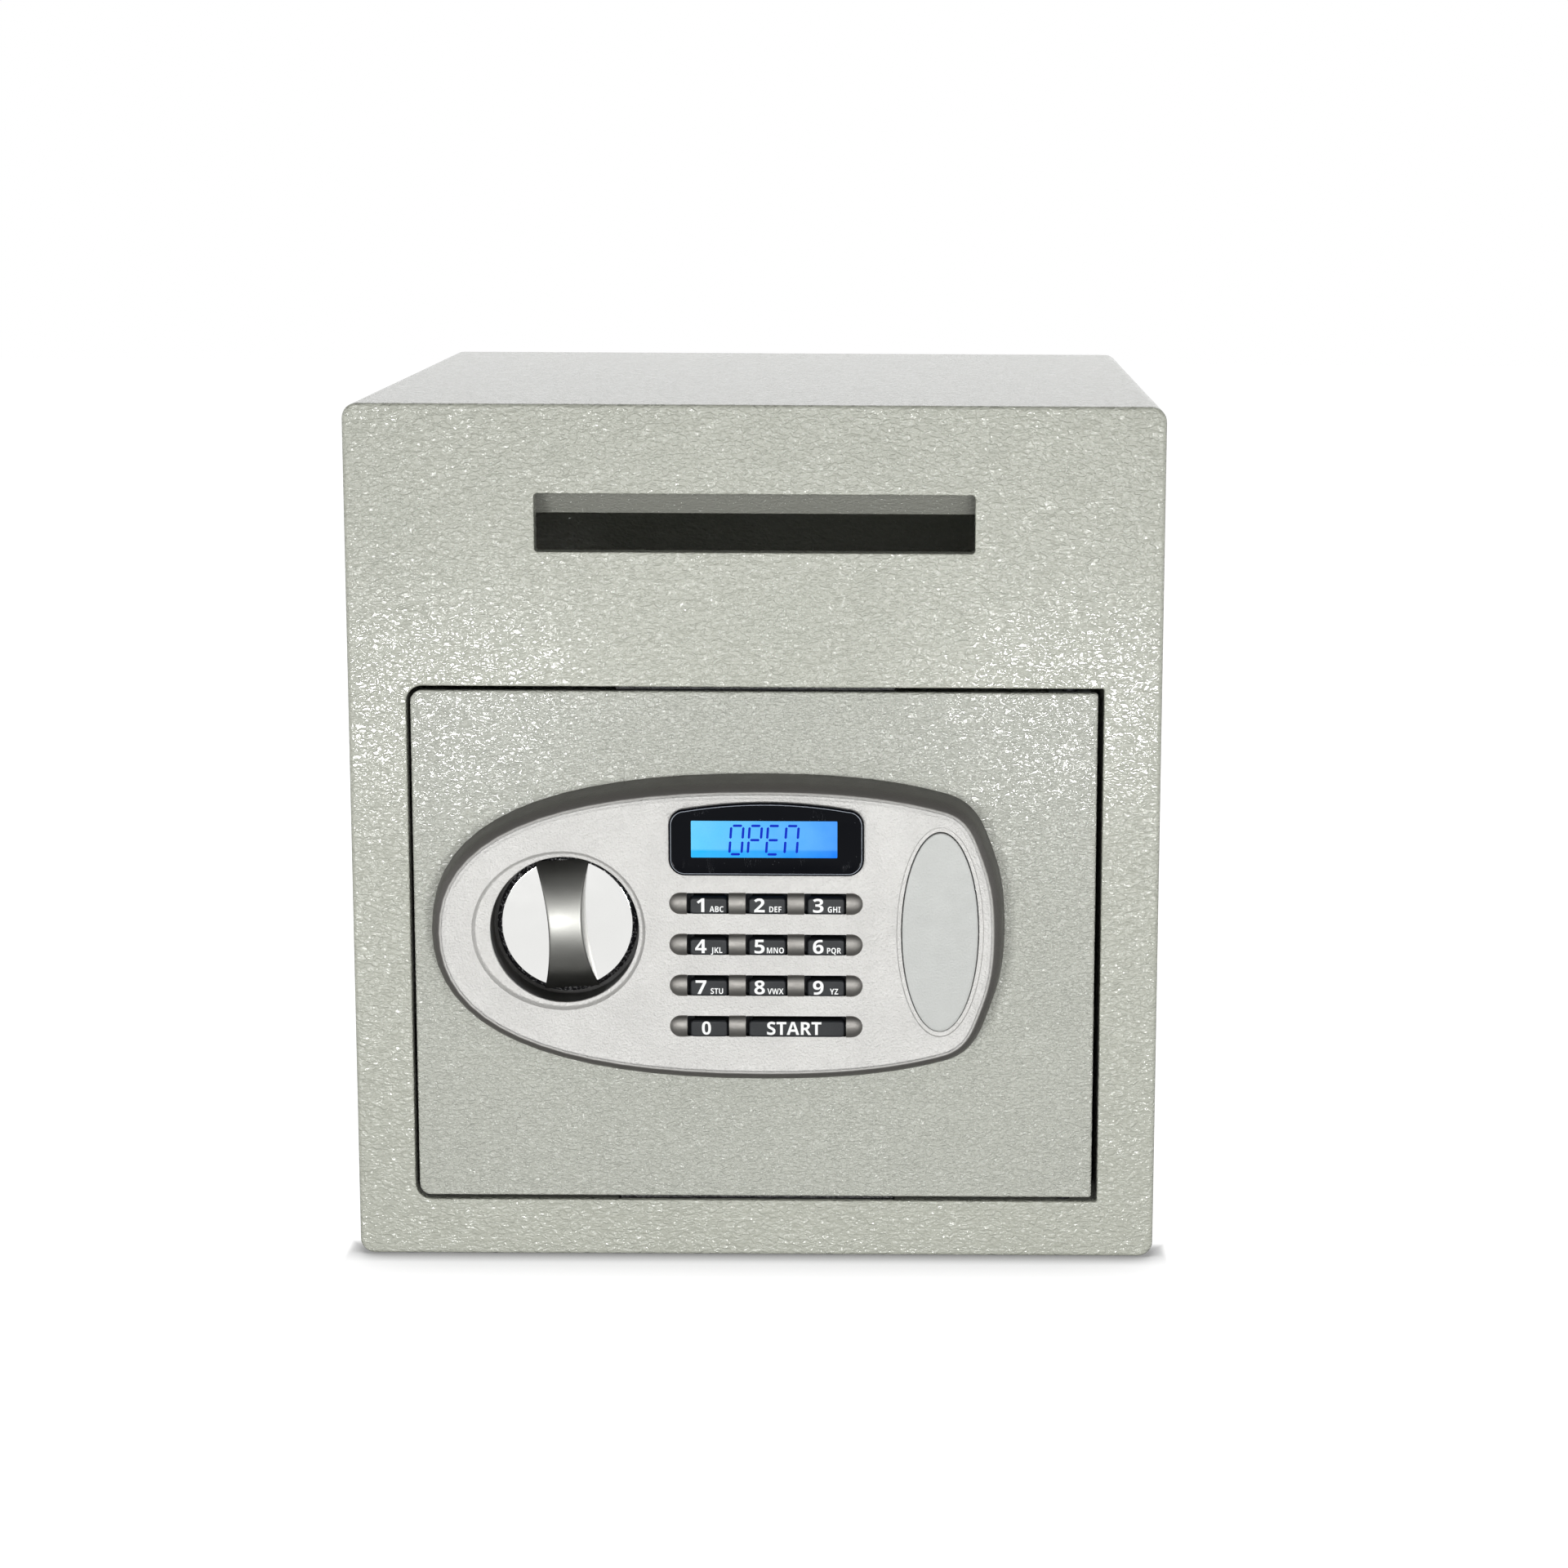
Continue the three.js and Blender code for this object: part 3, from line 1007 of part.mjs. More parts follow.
function boltCarriage() {
  const back = CARRIAGE_Y + CARRIAGE_PLATE;
  const barTop = FEATURE_Z + CARRIAGE_BAR_TOP;
  const crankX = KNOB_X + CRANK_RADIUS * Math.sin(crankSwing);
  const crankLow = FEATURE_Z + CRANK_RADIUS * Math.cos(crankSwing);
  const crankHigh = FEATURE_Z + CRANK_RADIUS;
  const pinRoom = CRANK_PIN_RADIUS + CRANK_PIN_CLEARANCE;
  const throughBar = (x0, x1, z0, z1) => block(x0, x1, CARRIAGE_Y - 1, back + 1, z0, z1);
  const studRoom = STUD_RADIUS + RUNNING_GAP;
  const studSlot = (x) => throughBar(x - studRoom - FIT, x + studRoom + boltTravel + FIT,
    FEATURE_Z - studRoom, FEATURE_Z + studRoom);
  const web = block(webX, webX + CARRIAGE_PLATE, BOLT_Y - BOLT_RADIUS, back,
    boltCentres[0] - WEB_REACH_ABOVE_BOLT, boltCentres[1] + WEB_REACH_ABOVE_BOLT);
  const wide = block(webX, crankX + CARRIAGE_PAST_CRANK, CARRIAGE_Y, back, barBottom, barTop);
  const long = block(webX, CARRIAGE_BAR_RIGHT, CARRIAGE_Y, back, barBottom, FEATURE_Z + CARRIAGE_BAR_HALF);
  const tooth = block(toothLeft, toothLeft + toothWidth, CARRIAGE_Y, back, toothBottom, barBottom + 1);
  const neckHoles = boltCentres.map((z) => rod(BOLT_NECK_RADIUS + FIT, 'x', webX, BOLT_Y, z,
    -1, CARRIAGE_PLATE + 1));
  const crankSlot = throughBar(crankX - pinRoom, crankX + pinRoom, crankLow - pinRoom, crankHigh + pinRoom);
  return piece('bolt_carriage', cut(join(web, wide, long, tooth), ...neckHoles, crankSlot,
    studSlot(STUD_LEFT_X), studSlot(STUD_RIGHT_X)), zinc);
}

function bolt(name, z) {
  const neckEnd = BOLT_LENGTH + CARRIAGE_PLATE;
  const rivetEnd = neckEnd + BOLT_RIVET_HEIGHT;
  const profile = [[0, 0], [BOLT_RADIUS - BOLT_CHAMFER, 0], [BOLT_RADIUS, BOLT_CHAMFER],
    [BOLT_RADIUS, BOLT_LENGTH], [BOLT_NECK_RADIUS, BOLT_LENGTH], [BOLT_NECK_RADIUS, neckEnd],
    [BOLT_RIVET_RADIUS, neckEnd], [BOLT_RIVET_RADIUS - 1, rivetEnd], [0, rivetEnd]];
  return piece(name, turned(profile, 'x', boltTip, BOLT_Y, z, 20), chrome);
}

// Solenoid

const plungerY = CARRIAGE_Y + CARRIAGE_PLATE / 2;

function solenoidBody() {
  const bottom = solenoidTop - SOLENOID_HEIGHT;
  const x0 = PLUNGER_X - SOLENOID_WIDTH / 2;
  const x1 = PLUNGER_X + SOLENOID_WIDTH / 2;
  const y1 = plungerY + SOLENOID_THICKNESS / 2;
  const coil = block(x0, x1, plungerY - SOLENOID_THICKNESS / 2, y1, bottom, solenoidTop);
  const bracket = block(x0, x1, DOOR_PLATE, DOOR_PLATE + SOLENOID_BRACKET,
    bottom - SOLENOID_BRACKET_FOOT, solenoidTop);
  const shelf = block(x0, x1, DOOR_PLATE, y1, bottom - SOLENOID_BRACKET, bottom + 1);
  const bore = rod(PLUNGER_RADIUS + RUNNING_GAP, 'z', PLUNGER_X, plungerY, 0,
    bottom + SOLENOID_FLOOR, solenoidTop + 1);
  return piece('solenoid_body', cut(join(coil, bracket, shelf), bore), darkPlastic);
}

function solenoidPlunger() {
  const tip = toothBottom - PLUNGER_TIP_GAP;
  const foot = solenoidTop - SOLENOID_HEIGHT + SOLENOID_FLOOR + FIT;
  const collar = tip - COLLAR_BELOW_TIP;
  const profile = [[0, foot], [PLUNGER_RADIUS, foot], [PLUNGER_RADIUS, collar], [COLLAR_RADIUS, collar],
    [COLLAR_RADIUS, collar + COLLAR_HEIGHT], [PLUNGER_RADIUS, collar + COLLAR_HEIGHT],
    [PLUNGER_RADIUS, tip - 1], [PLUNGER_RADIUS - 1, tip], [0, tip]];
  return piece('solenoid_plunger', turned(profile, 'z', PLUNGER_X, plungerY, 0), steel);
}

function plungerSpring() {
  const foot = solenoidTop + FIT;
  const head = toothBottom - PLUNGER_TIP_GAP - COLLAR_BELOW_TIP - FIT;
  const inner = PLUNGER_RADIUS + FIT;
  const profile = [[inner, foot], [SPRING_RADIUS, foot], [SPRING_RADIUS, head], [inner, head], [inner, foot]];
  return piece('plunger_spring', turned(profile, 'z', PLUNGER_X, plungerY, 0), steel);
}

// Override lock

function overrideLockBody() {
  const inner = PLUG_RADIUS + FIT;
  const profile = [[inner, -LOCK_FLANGE], [LOCK_FLANGE_RADIUS, -LOCK_FLANGE], [LOCK_FLANGE_RADIUS, 0],
    [LOCK_RADIUS, 0], [LOCK_RADIUS, LOCK_LENGTH], [inner, LOCK_LENGTH], [inner, -LOCK_FLANGE]];
  return piece('override_lock_body', turned(profile, 'y', COVER_X, 0, FEATURE_Z), brass);
}

const camSeat = PLUG_SHOULDER + FIT / 2;

function overridePlug() {
  const front = -LOCK_FLANGE - PLUG_PROUD;
  const camBack = LOCK_LENGTH + camSeat + CAM_THICKNESS;
  const barrel = rod(PLUG_RADIUS, 'y', COVER_X, 0, FEATURE_Z, front, LOCK_LENGTH + PLUG_SHOULDER);
  const keyway = block(COVER_X - KEYWAY_WIDTH / 2, COVER_X + KEYWAY_WIDTH / 2,
    front - 1, front + KEYWAY_DEPTH, FEATURE_Z - KEYWAY_HEIGHT / 2, FEATURE_Z + KEYWAY_HEIGHT / 2);
  const neck = rod(PLUG_NECK_RADIUS, 'y', COVER_X, 0, FEATURE_Z, LOCK_LENGTH, camBack + PLUG_NECK_PAST_CAM);
  return piece('override_plug', join(cut(barrel, keyway), neck), brass);
}

function overrideCam() {
  const y0 = LOCK_LENGTH + camSeat;
  const shape = roundedRectangle(COVER_X - CAM_LENGTH, COVER_X + CAM_WIDTH / 2,
    FEATURE_Z - CAM_WIDTH / 2, FEATURE_Z + CAM_WIDTH / 2, CAM_WIDTH / 2 - 0.5);
  const hole = rod(PLUG_NECK_RADIUS + FIT, 'y', COVER_X, 0, FEATURE_Z, y0 - 1, y0 + CAM_THICKNESS + 1);
  return piece('override_cam', cut(plate(shape, y0, y0 + CAM_THICKNESS, 4), hole), steel);
}

// Batteries, control board and what joins them

function batteryHolder() {
  const tray = block(holder.left, holder.right, holder.front, box.back, holder.bottom, holder.top);
  const room = block(holder.left + HOLDER_WALL, holder.right - HOLDER_WALL,
    holder.front + HOLDER_FLOOR, box.back + 1, holder.bottom + HOLDER_WALL, holder.top - HOLDER_WALL);
  return piece('battery_holder', cut(tray, room), darkPlastic);
}

function battery(index) {
  const middle = (holder.left + holder.right) / 2;
  const x = middle + (index - (BATTERY_COUNT - 1) / 2) * BATTERY_PITCH;
  const foot = (holder.bottom + holder.top - BATTERY_LENGTH) / 2;
  const y = holder.front + HOLDER_FLOOR + FIT + BATTERY_RADIUS;
  const tip = BATTERY_LENGTH - BATTERY_TIP_HEIGHT;
  const upright = [[0, 0], [BATTERY_RADIUS, 0], [BATTERY_RADIUS, tip], [BATTERY_TIP_RADIUS, tip],
    [BATTERY_TIP_RADIUS, BATTERY_LENGTH], [0, BATTERY_LENGTH]];
  const turnedOver = upright.map(([radius, along]) => [radius, BATTERY_LENGTH - along]);
  return piece(`battery_${index + 1}`, turned(index % 2 ? turnedOver : upright, 'z', x, y, foot), cell);
}

function batteryLid() {
  const inner = HOLDER_WALL + LID_LAND;
  const plugInset = inner + LID_GAP;
  const plug = block(holder.left + plugInset, holder.right - plugInset,
    box.back, box.back + COVER_SHEET + 0.5, holder.bottom + plugInset, holder.top - plugInset);
  const top = box.back + COVER_SHEET;
  const flangeInset = inner - LID_FLANGE;
  const flange = block(holder.left + flangeInset, holder.right - flangeInset,
    top, top + COVER_SHEET, holder.bottom + flangeInset, holder.top - flangeInset);
  return piece('battery_lid', join(plug, flange), darkPlastic);
}

function controlBoard() {
  const back = box.back - CONTROL_STANDOFF;
  const board = block(CONTROL_LEFT, CONTROL_RIGHT, back - BOARD_THICKNESS, back, CONTROL_BOTTOM, CONTROL_TOP);
  return piece('control_board', board, circuit);
}

function resetButton() {
  const front = box.back - CONTROL_STANDOFF + RESET_TRAVEL + FIT;
  const collar = box.back - FIT;
  const end = box.back + COVER_SHEET + RESET_PROUD;
  const profile = [[0, front], [RESET_RADIUS, front], [RESET_RADIUS, collar - RESET_COLLAR],
    [RESET_COLLAR_RADIUS, collar - RESET_COLLAR], [RESET_COLLAR_RADIUS, collar], [RESET_RADIUS, collar],
    [RESET_RADIUS, end], [0, end]];
  return piece('reset_button', turned(profile, 'y', RESET_X, 0, RESET_Z, 14), red);
}

// The lead from the keypad board's back, through the door plate, to the control board's front.
function boardLead() {
  const start = -BOARD_FACE + BOARD_THICKNESS + FIT;
  const end = box.back - CONTROL_STANDOFF - BOARD_THICKNESS - FIT;
  const point = ([x, z], y) => new THREE.Vector3(x, y, z);
  const path = new THREE.CatmullRomCurve3([
    point(LEAD_START, start),
    ...[LEAD_START, LEAD_MIDDLE, LEAD_END].map((at, i) => point(at, DOOR_PLATE + LEAD_TURNS_BEHIND_PLATE[i])),
    point(LEAD_END, end)], false, 'centripetal');
  const section = new THREE.Shape(Array.from({ length: 8 }, (_, i) => new THREE.Vector2(
    LEAD_RADIUS * Math.cos(i * Math.PI / 4), LEAD_RADIUS * Math.sin(i * Math.PI / 4))));
  const geometry = new THREE.ExtrudeGeometry(section, { extrudePath: path, steps: 16, bevelEnabled: false });
  return piece('board_lead', solid(geometry), darkPlastic);
}

// Assembly

const cabinet = groupOf(
  bodyShell(), frontFrame(), doorFrame(), backPanel(), upperBaffle(), lowerBaffle(), floorMat());

const turnedGroup = groupOf(knob(), knobSpindle(), crankArm());
turnedGroup.rotation.y = KNOB_TILT_DEG * deg;
turnedGroup.position.set(KNOB_X, 0, FEATURE_Z);

const doorGroup = groupOf(
  doorPlate(), doorBox(), doorBackCover(), ...posts.map((_, i) => coverScrew(i)),
  hingeBlock(1), hingeBlock(-1), hingePin(1), hingePin(-1),
  fascia(), displayBezel(), displayModule(), keypadBoard(), keyMat(), ...keys.map(keyCap), ovalCover(),
  knobBushing(), turnedGroup,
  guideStud('left_guide_stud', STUD_LEFT_X), guideStud('right_guide_stud', STUD_RIGHT_X),
  boltCarriage(), bolt('lower_bolt', boltCentres[0]), bolt('upper_bolt', boltCentres[1]),
  solenoidBody(), solenoidPlunger(), plungerSpring(),
  overrideLockBody(), overridePlug(), overrideCam(),
  batteryHolder(), ...Array.from({ length: BATTERY_COUNT }, (_, i) => battery(i)), batteryLid(),
  controlBoard(), resetButton(), boardLead());

const safe = groupOf(cabinet, doorGroup);
safe.position.y = -BODY_DEPTH / 2;

export default safe;
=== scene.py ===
"""A steel deposit safe with a letter slot above an electronic lock door, dressed and set in a white studio.

Sizes in the classes are millimetres on the safe itself: x to the right, y into the safe from its front face
and z up from its base. at() turns them into the frame's metres.
"""
from __future__ import annotations

import functools
import logging
import math
import os
from collections.abc import Iterable
from dataclasses import dataclass, field
from enum import Enum, StrEnum

import bmesh
import bpy
from bmesh.types import BMEdge, BMesh, BMFace
from bpy.types import ID, Material, Mesh, Node, NodeSocket, Object
from mathutils import Matrix, Vector
from mathutils.geometry import interpolate_bezier

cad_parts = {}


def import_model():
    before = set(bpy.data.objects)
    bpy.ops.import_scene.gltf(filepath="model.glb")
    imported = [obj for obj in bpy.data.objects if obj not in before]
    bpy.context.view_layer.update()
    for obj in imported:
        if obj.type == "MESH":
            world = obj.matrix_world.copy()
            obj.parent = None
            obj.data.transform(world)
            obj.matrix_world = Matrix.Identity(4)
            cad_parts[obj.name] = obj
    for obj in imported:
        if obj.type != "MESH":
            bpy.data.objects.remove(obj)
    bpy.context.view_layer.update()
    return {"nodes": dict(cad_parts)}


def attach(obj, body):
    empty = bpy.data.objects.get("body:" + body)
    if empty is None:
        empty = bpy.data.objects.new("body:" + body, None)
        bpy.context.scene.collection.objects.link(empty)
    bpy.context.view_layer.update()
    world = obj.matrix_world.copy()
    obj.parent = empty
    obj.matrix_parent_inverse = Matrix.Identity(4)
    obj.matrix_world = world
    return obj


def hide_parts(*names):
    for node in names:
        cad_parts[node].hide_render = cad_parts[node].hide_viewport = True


MM = 0.001
FRONT_FACE = -0.180
LOG = logging.getLogger("deposit_safe")
FORWARD = Vector((0, -1, 0))
BACKWARD = Vector((0, 1, 0))
DOWN = Vector((0, 0, -1))

Point = tuple[float, float]
Outline = list[Point]
Three = tuple[float, float, float]
Colour = Three
Four = tuple[float, float, float, float]


class Body(StrEnum):
    """The moving bodies that new pieces ride on."""

    CABINET = "cabinet"
    DOOR = "door"
    KNOB = "turn_knob"
    COVER = "cover_oval"


class Side(Enum):
    """The axis that a ring or a hole is looked at along."""

    FRONT = "front"
    TOP = "top"


def at(x: float, y: float, z: float) -> Vector:
    """Turns the safe's millimetres into a point in the frame's metres."""
    return Vector((x * MM, FRONT_FACE + y * MM, z * MM))


def linear(colour: Colour) -> Four:
    """Turns a colour of 0 to 255, as it looks on a screen, into the shader's linear values."""
    parts = [c / 255 for c in colour]
    return (*[p / 12.92 if p <= 0.04045 else ((p + 0.055) / 1.055) ** 2.4 for p in parts], 1.0)


def dimmed(colour: tuple[float, ...], share: float) -> tuple[float, ...]:
    """Gives a share of a linear colour's light."""
    return (*[c * share for c in colour[:3]], 1.0)


def rounded(x0: float, x1: float, z0: float, z1: float, radii: Four, steps: int = 6) -> Outline:
    """Draws a rectangle with rounded corners.

    Args:
        x0, x1, z0, z1: Its sides.
        radii: The corner radii, from the lower left round to the upper left.
        steps: Steps in each corner.

    Returns:
        Its points, counter-clockwise.
    """
    corners = ((x0, z0, 180), (x1, z0, 270), (x1, z1, 0), (x0, z1, 90))
    points = []
    for (x, z, start), radius in zip(corners, radii):
        middle = (x + math.copysign(radius, x1 + x0 - 2 * x), z + math.copysign(radius, z1 + z0 - 2 * z))
        for i in range(steps + 1):
            turn = math.radians(start + 90 * i / steps)
            points.append((middle[0] + radius * math.cos(turn), middle[1] + radius * math.sin(turn)))
    return points


def grown(sides: Four, corners: Four, grow: float) -> Outline:
    """Draws a rectangle with rounded corners, grown by a distance, or inset where that is below 0."""
    x0, x1, z0, z1 = sides
    return rounded(x0 - grow, x1 + grow, z0 - grow, z1 + grow, tuple(c + grow for c in corners), 8)


def oval(x: float, z: float, wide: float, high: float, count: int = 64) -> Outline:
    """Draws an ellipse round x, z with the given half sizes, counter-clockwise."""
    turns = [math.tau * i / count for i in range(count)]
    return [(x + wide * math.cos(t), z + high * math.sin(t)) for t in turns]


def circle(middle: Point, radius: float, count: int) -> Outline:
    """Draws a circle, counter-clockwise."""
    return oval(*middle, radius, radius, count)


def ring(bm: BMesh, outline: Outline, level: float, side: Side = Side.FRONT) -> list[BMEdge]:
    """Adds a closed line of edges.

    Args:
        bm: The mesh.
        outline: Its points, x with z seen from the front, or x with y seen from the top.
        level: The y of a front ring, or the z of a top one.
        side: The side it is drawn from.

    Returns:
        Its edges, in order.
    """
    places = [at(a, level, b) if side is Side.FRONT else at(a, b, level) for a, b in outline]
    verts = [bm.verts.new(p) for p in places]
    return [bm.edges.new(pair) for pair in zip(verts, verts[1:] + verts[:1])]


def join_rings(bm: BMesh, rings: list[list[BMEdge]]) -> None:
    """Bridges each ring of edges to the next one."""
    for first, second in zip(rings, rings[1:]):
        bmesh.ops.bridge_loops(bm, edges=first + second)


def sleeve(bm: BMesh, steps: Iterable[tuple[Outline, float]]) -> list[list[BMEdge]]:
    """Adds a ring for each pair of outline and level, bridges them in order and gives them back."""
    rings = [ring(bm, outline, level) for outline, level in steps]
    join_rings(bm, rings)
    return rings


def tube(bm: BMesh, sides: Four, corners: Four, steps: Iterable[Point]) -> list[list[BMEdge]]:
    """Adds a sleeve of one rounded rectangle, from pairs of how far it is grown and at what y."""
    return sleeve(bm, [(grown(sides, corners, grow), y) for grow, y in steps])


def fill(bm: BMesh, rings: Iterable[list[BMEdge]], facing: Vector = FORWARD) -> None:
    """Fills the flat area between an outer ring and the holes in it."""
    edges = [edge for line in rings for edge in line]
    bmesh.ops.triangle_fill(bm, use_beauty=True, use_dissolve=False, edges=edges, normal=facing)


def quarter(steps: int) -> list[float]:
    """Gives the angles of a quarter turn in even steps."""
    return [math.pi / 2 * i / steps for i in range(steps + 1)]


def edge_curve(radius: float, steps: int = 4) -> list[Point]:
    """Gives a quarter round's steps as (how far in from the side, how far back from the face)."""
    return [(radius * (1 - math.sin(t)), radius * (1 - math.cos(t))) for t in quarter(steps)]


def raised(bm: BMesh, outline: Outline, profile: list[Point], close_back: bool = False) -> BMFace:
    """Builds a form out of the front by insetting an outline step by step.

    Args:
        bm: The mesh.
        outline: The outline at the back.
        profile: Pairs of how far in from the outline and at what y, from the back to the face.
        close_back: Whether the back is closed too.

    Returns:
        The flat face at the front.
    """
    verts = [bm.verts.new(at(x, profile[0][1], z)) for x, z in outline]
    face = bm.faces.new(verts)
    face.normal_update()
    if face.normal.y > 0:
        face.normal_flip()
    for (inset, y), (next_inset, next_y) in zip(profile, profile[1:]):
        bmesh.ops.inset_region(bm, faces=[face], thickness=(next_inset - inset) * MM, depth=(y - next_y) * MM,
                               use_even_offset=True, use_boundary=True)
    if close_back:
        bm.faces.new(verts)
    return face


def open_face(bm: BMesh, face: BMFace) -> list[BMEdge]:
    """Takes a face away and gives the ring of edges that stood round it."""
    edges = list(face.edges)
    bmesh.ops.delete(bm, geom=[face], context="FACES_ONLY")
    return edges


def meshed(name: str, bm: BMesh) -> Mesh:
    """Turns a mesh that is being built into a finished one and frees it."""
    mesh = bpy.data.meshes.new(name)
    bm.to_mesh(mesh)
    bm.free()
    return mesh


def placed(name: str, data: ID) -> Object:
    """Puts data into the scene as an object at the origin."""
    obj = bpy.data.objects.new(name, data)
    bpy.context.scene.collection.objects.link(obj)
    return obj


def pour(bm: BMesh, mesh: Mesh) -> None:
    """Copies a finished mesh into one that is being built, and removes it."""
    bm.from_mesh(mesh)
    bpy.data.meshes.remove(mesh)


def piece(name: str, bm: BMesh, finish: object, body: str, stands_for: tuple[str, ...] = (),
          crease: float = 40.0, flat: bool = False) -> Object:
    """Makes a finished object of a mesh and lets it ride on its body.

    Args:
        name: The piece's name.
        bm: Its mesh, which is freed.
        finish: Its finish.
        body: The body that it rides on.
        stands_for: The CAD nodes that it replaces.
        crease: The angle in degrees past which an edge stays sharp.
        flat: Whether it is a flat print, whose shading needs no evening out.

    Returns:
        The object, at the origin.
    """
    bmesh.ops.remove_doubles(bm, verts=bm.verts, dist=0.004 * MM)
    bmesh.ops.recalc_face_normals(bm, faces=bm.faces)
    mesh = meshed(name, bm)
    mesh.shade_smooth()
    mesh.set_sharp_from_angle(angle=math.radians(crease))
    mesh.materials.append(made(finish))
    obj = placed(name, mesh)
    if not flat:
        obj.modifiers.new("even_shading", "WEIGHTED_NORMAL").keep_sharp = True
    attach(obj, body)
    if stands_for:
        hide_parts(*stands_for)
    LOG.info("%s: %d faces, rides on %s", name, len(mesh.polygons), body)
    return obj


def thicken(obj: Object, wall: float) -> None:
    """Gives a skin its wall thickness in millimetres, inwards."""
    thick = obj.modifiers.new("wall", "SOLIDIFY")
    thick.thickness = wall * MM
    thick.offset = -1
    obj.modifiers.move(1, 0)


class Wiring:
    """Adds the nodes of a material or world and wires them together."""

    def __init__(self, owner: ID) -> None:
        """Takes over the nodes of a new material or world."""
        owner.use_nodes = True
        self.nodes, self.links = owner.node_tree.nodes, owner.node_tree.links

    def add(self, kind: str, **settings: object) -> Node:
        """Adds a node and sets its properties."""
        node = self.nodes.new(kind)
        for key, value in settings.items():
            setattr(node, key, value)
        return node

    def plug(self, entry: NodeSocket, value: object) -> None:
        """Wires a socket to an input, or sets the input's value."""
        if isinstance(value, NodeSocket):
            self.links.new(value, entry)
        else:
            entry.default_value = value

    def feed(self, node: Node, **values: object) -> None:
        """Feeds a node's inputs by name; an underscore stands for a space."""
        for name, value in values.items():
            self.plug(node.inputs[name.replace("_", " ")], value)

    def levels(self, value: NodeSocket, low: float, high: float, bottom: float = 0.0,
               top: float = 1.0) -> NodeSocket:
        """Spreads the part of a value from low to high over bottom to top, and holds it there."""
        node = self.add("ShaderNodeMapRange", clamp=True)
        self.feed(node, Value=value, From_Min=low, From_Max=high, To_Min=bottom, To_Max=top)
        return node.outputs["Result"]

    def count(self, operation: str, first: object, second: object = 0.0) -> NodeSocket:
        """Works one sum on two values."""
        node = self.add("ShaderNodeMath", operation=operation)
        for entry, value in zip(node.inputs, (first, second)):
            self.plug(entry, value)
        return node.outputs["Value"]

    def seen(self) -> NodeSocket:
        """Gives 1 for what the camera, gloss or glass sees, and 0 for light on the way to a matt surface."""
        rays = self.add("ShaderNodeLightPath").outputs
        mirrored = self.count("MAXIMUM", rays["Is Glossy Ray"], rays["Is Transmission Ray"])
        return self.count("MAXIMUM", rays["Is Camera Ray"], mirrored)


class Bench(Wiring):
    """Lays out one material, with its shader and its object coordinates."""

    def __init__(self, name: str) -> None:
        """Starts the material."""
        self.material = bpy.data.materials.new(name)
        super().__init__(self.material)
        self.shader = self.nodes["Principled BSDF"]
        self.place = self.add("ShaderNodeTexCoord").outputs["Object"]

    def give(self, **values: object) -> None:
        """Feeds the shader's inputs; an underscore stands for a space."""
        self.feed(self.shader, **values)

    def noise(self, scale: float, detail: float = 2.0, stretch: Three = (1, 1, 1), distortion: float = 0.0,
              roughness: float = 0.5) -> NodeSocket:
        """Gives a cloudy pattern's value; scale is its clouds in a metre, stretch multiplies the coordinates."""
        mapping = self.add("ShaderNodeMapping")
        self.feed(mapping, Vector=self.place, Scale=stretch)
        node = self.add("ShaderNodeTexNoise")
        self.feed(node, Vector=mapping.outputs["Vector"], Scale=scale, Detail=detail, Roughness=roughness,
                  Distortion=distortion)
        return node.outputs["Fac"]

    def clouds(self, scale: float, detail: float, bottom: float = 0.0, top: float = 1.0) -> NodeSocket:
        """Gives broad clouds that run from one value to another."""
        return self.levels(self.noise(scale, detail), 0.3, 0.7, bottom, top)

    def cells(self, scale: float) -> NodeSocket:
        """Gives a cell pattern's distance value; scale is its cells in a metre."""
        node = self.add("ShaderNodeTexVoronoi")
        self.feed(node, Vector=self.place, Scale=scale)
        return node.outputs["Distance"]

    def blend(self, factor: object, first: object, second: object) -> NodeSocket:
        """Mixes two colours by a factor."""
        node = self.add("ShaderNodeMix", data_type="RGBA")
        self.feed(node, Factor=factor, A=first, B=second)
        return node.outputs["Result"]

    def bump(self, height: NodeSocket, depth: float, over: NodeSocket | None = None) -> NodeSocket:
        """Turns a height into a relief that is depth millimetres deep, over another relief or over none."""
        node = self.add("ShaderNodeBump")
        self.feed(node, Height=height, Distance=depth * MM)
        if over is not None:
            self.feed(node, Normal=over)
        return node.outputs["Normal"]

    def axis(self, name: str) -> NodeSocket:
        """Gives one coordinate of the place, in metres."""
        node = self.add("ShaderNodeSeparateXYZ")
        self.feed(node, Vector=self.place)
        return node.outputs[name]


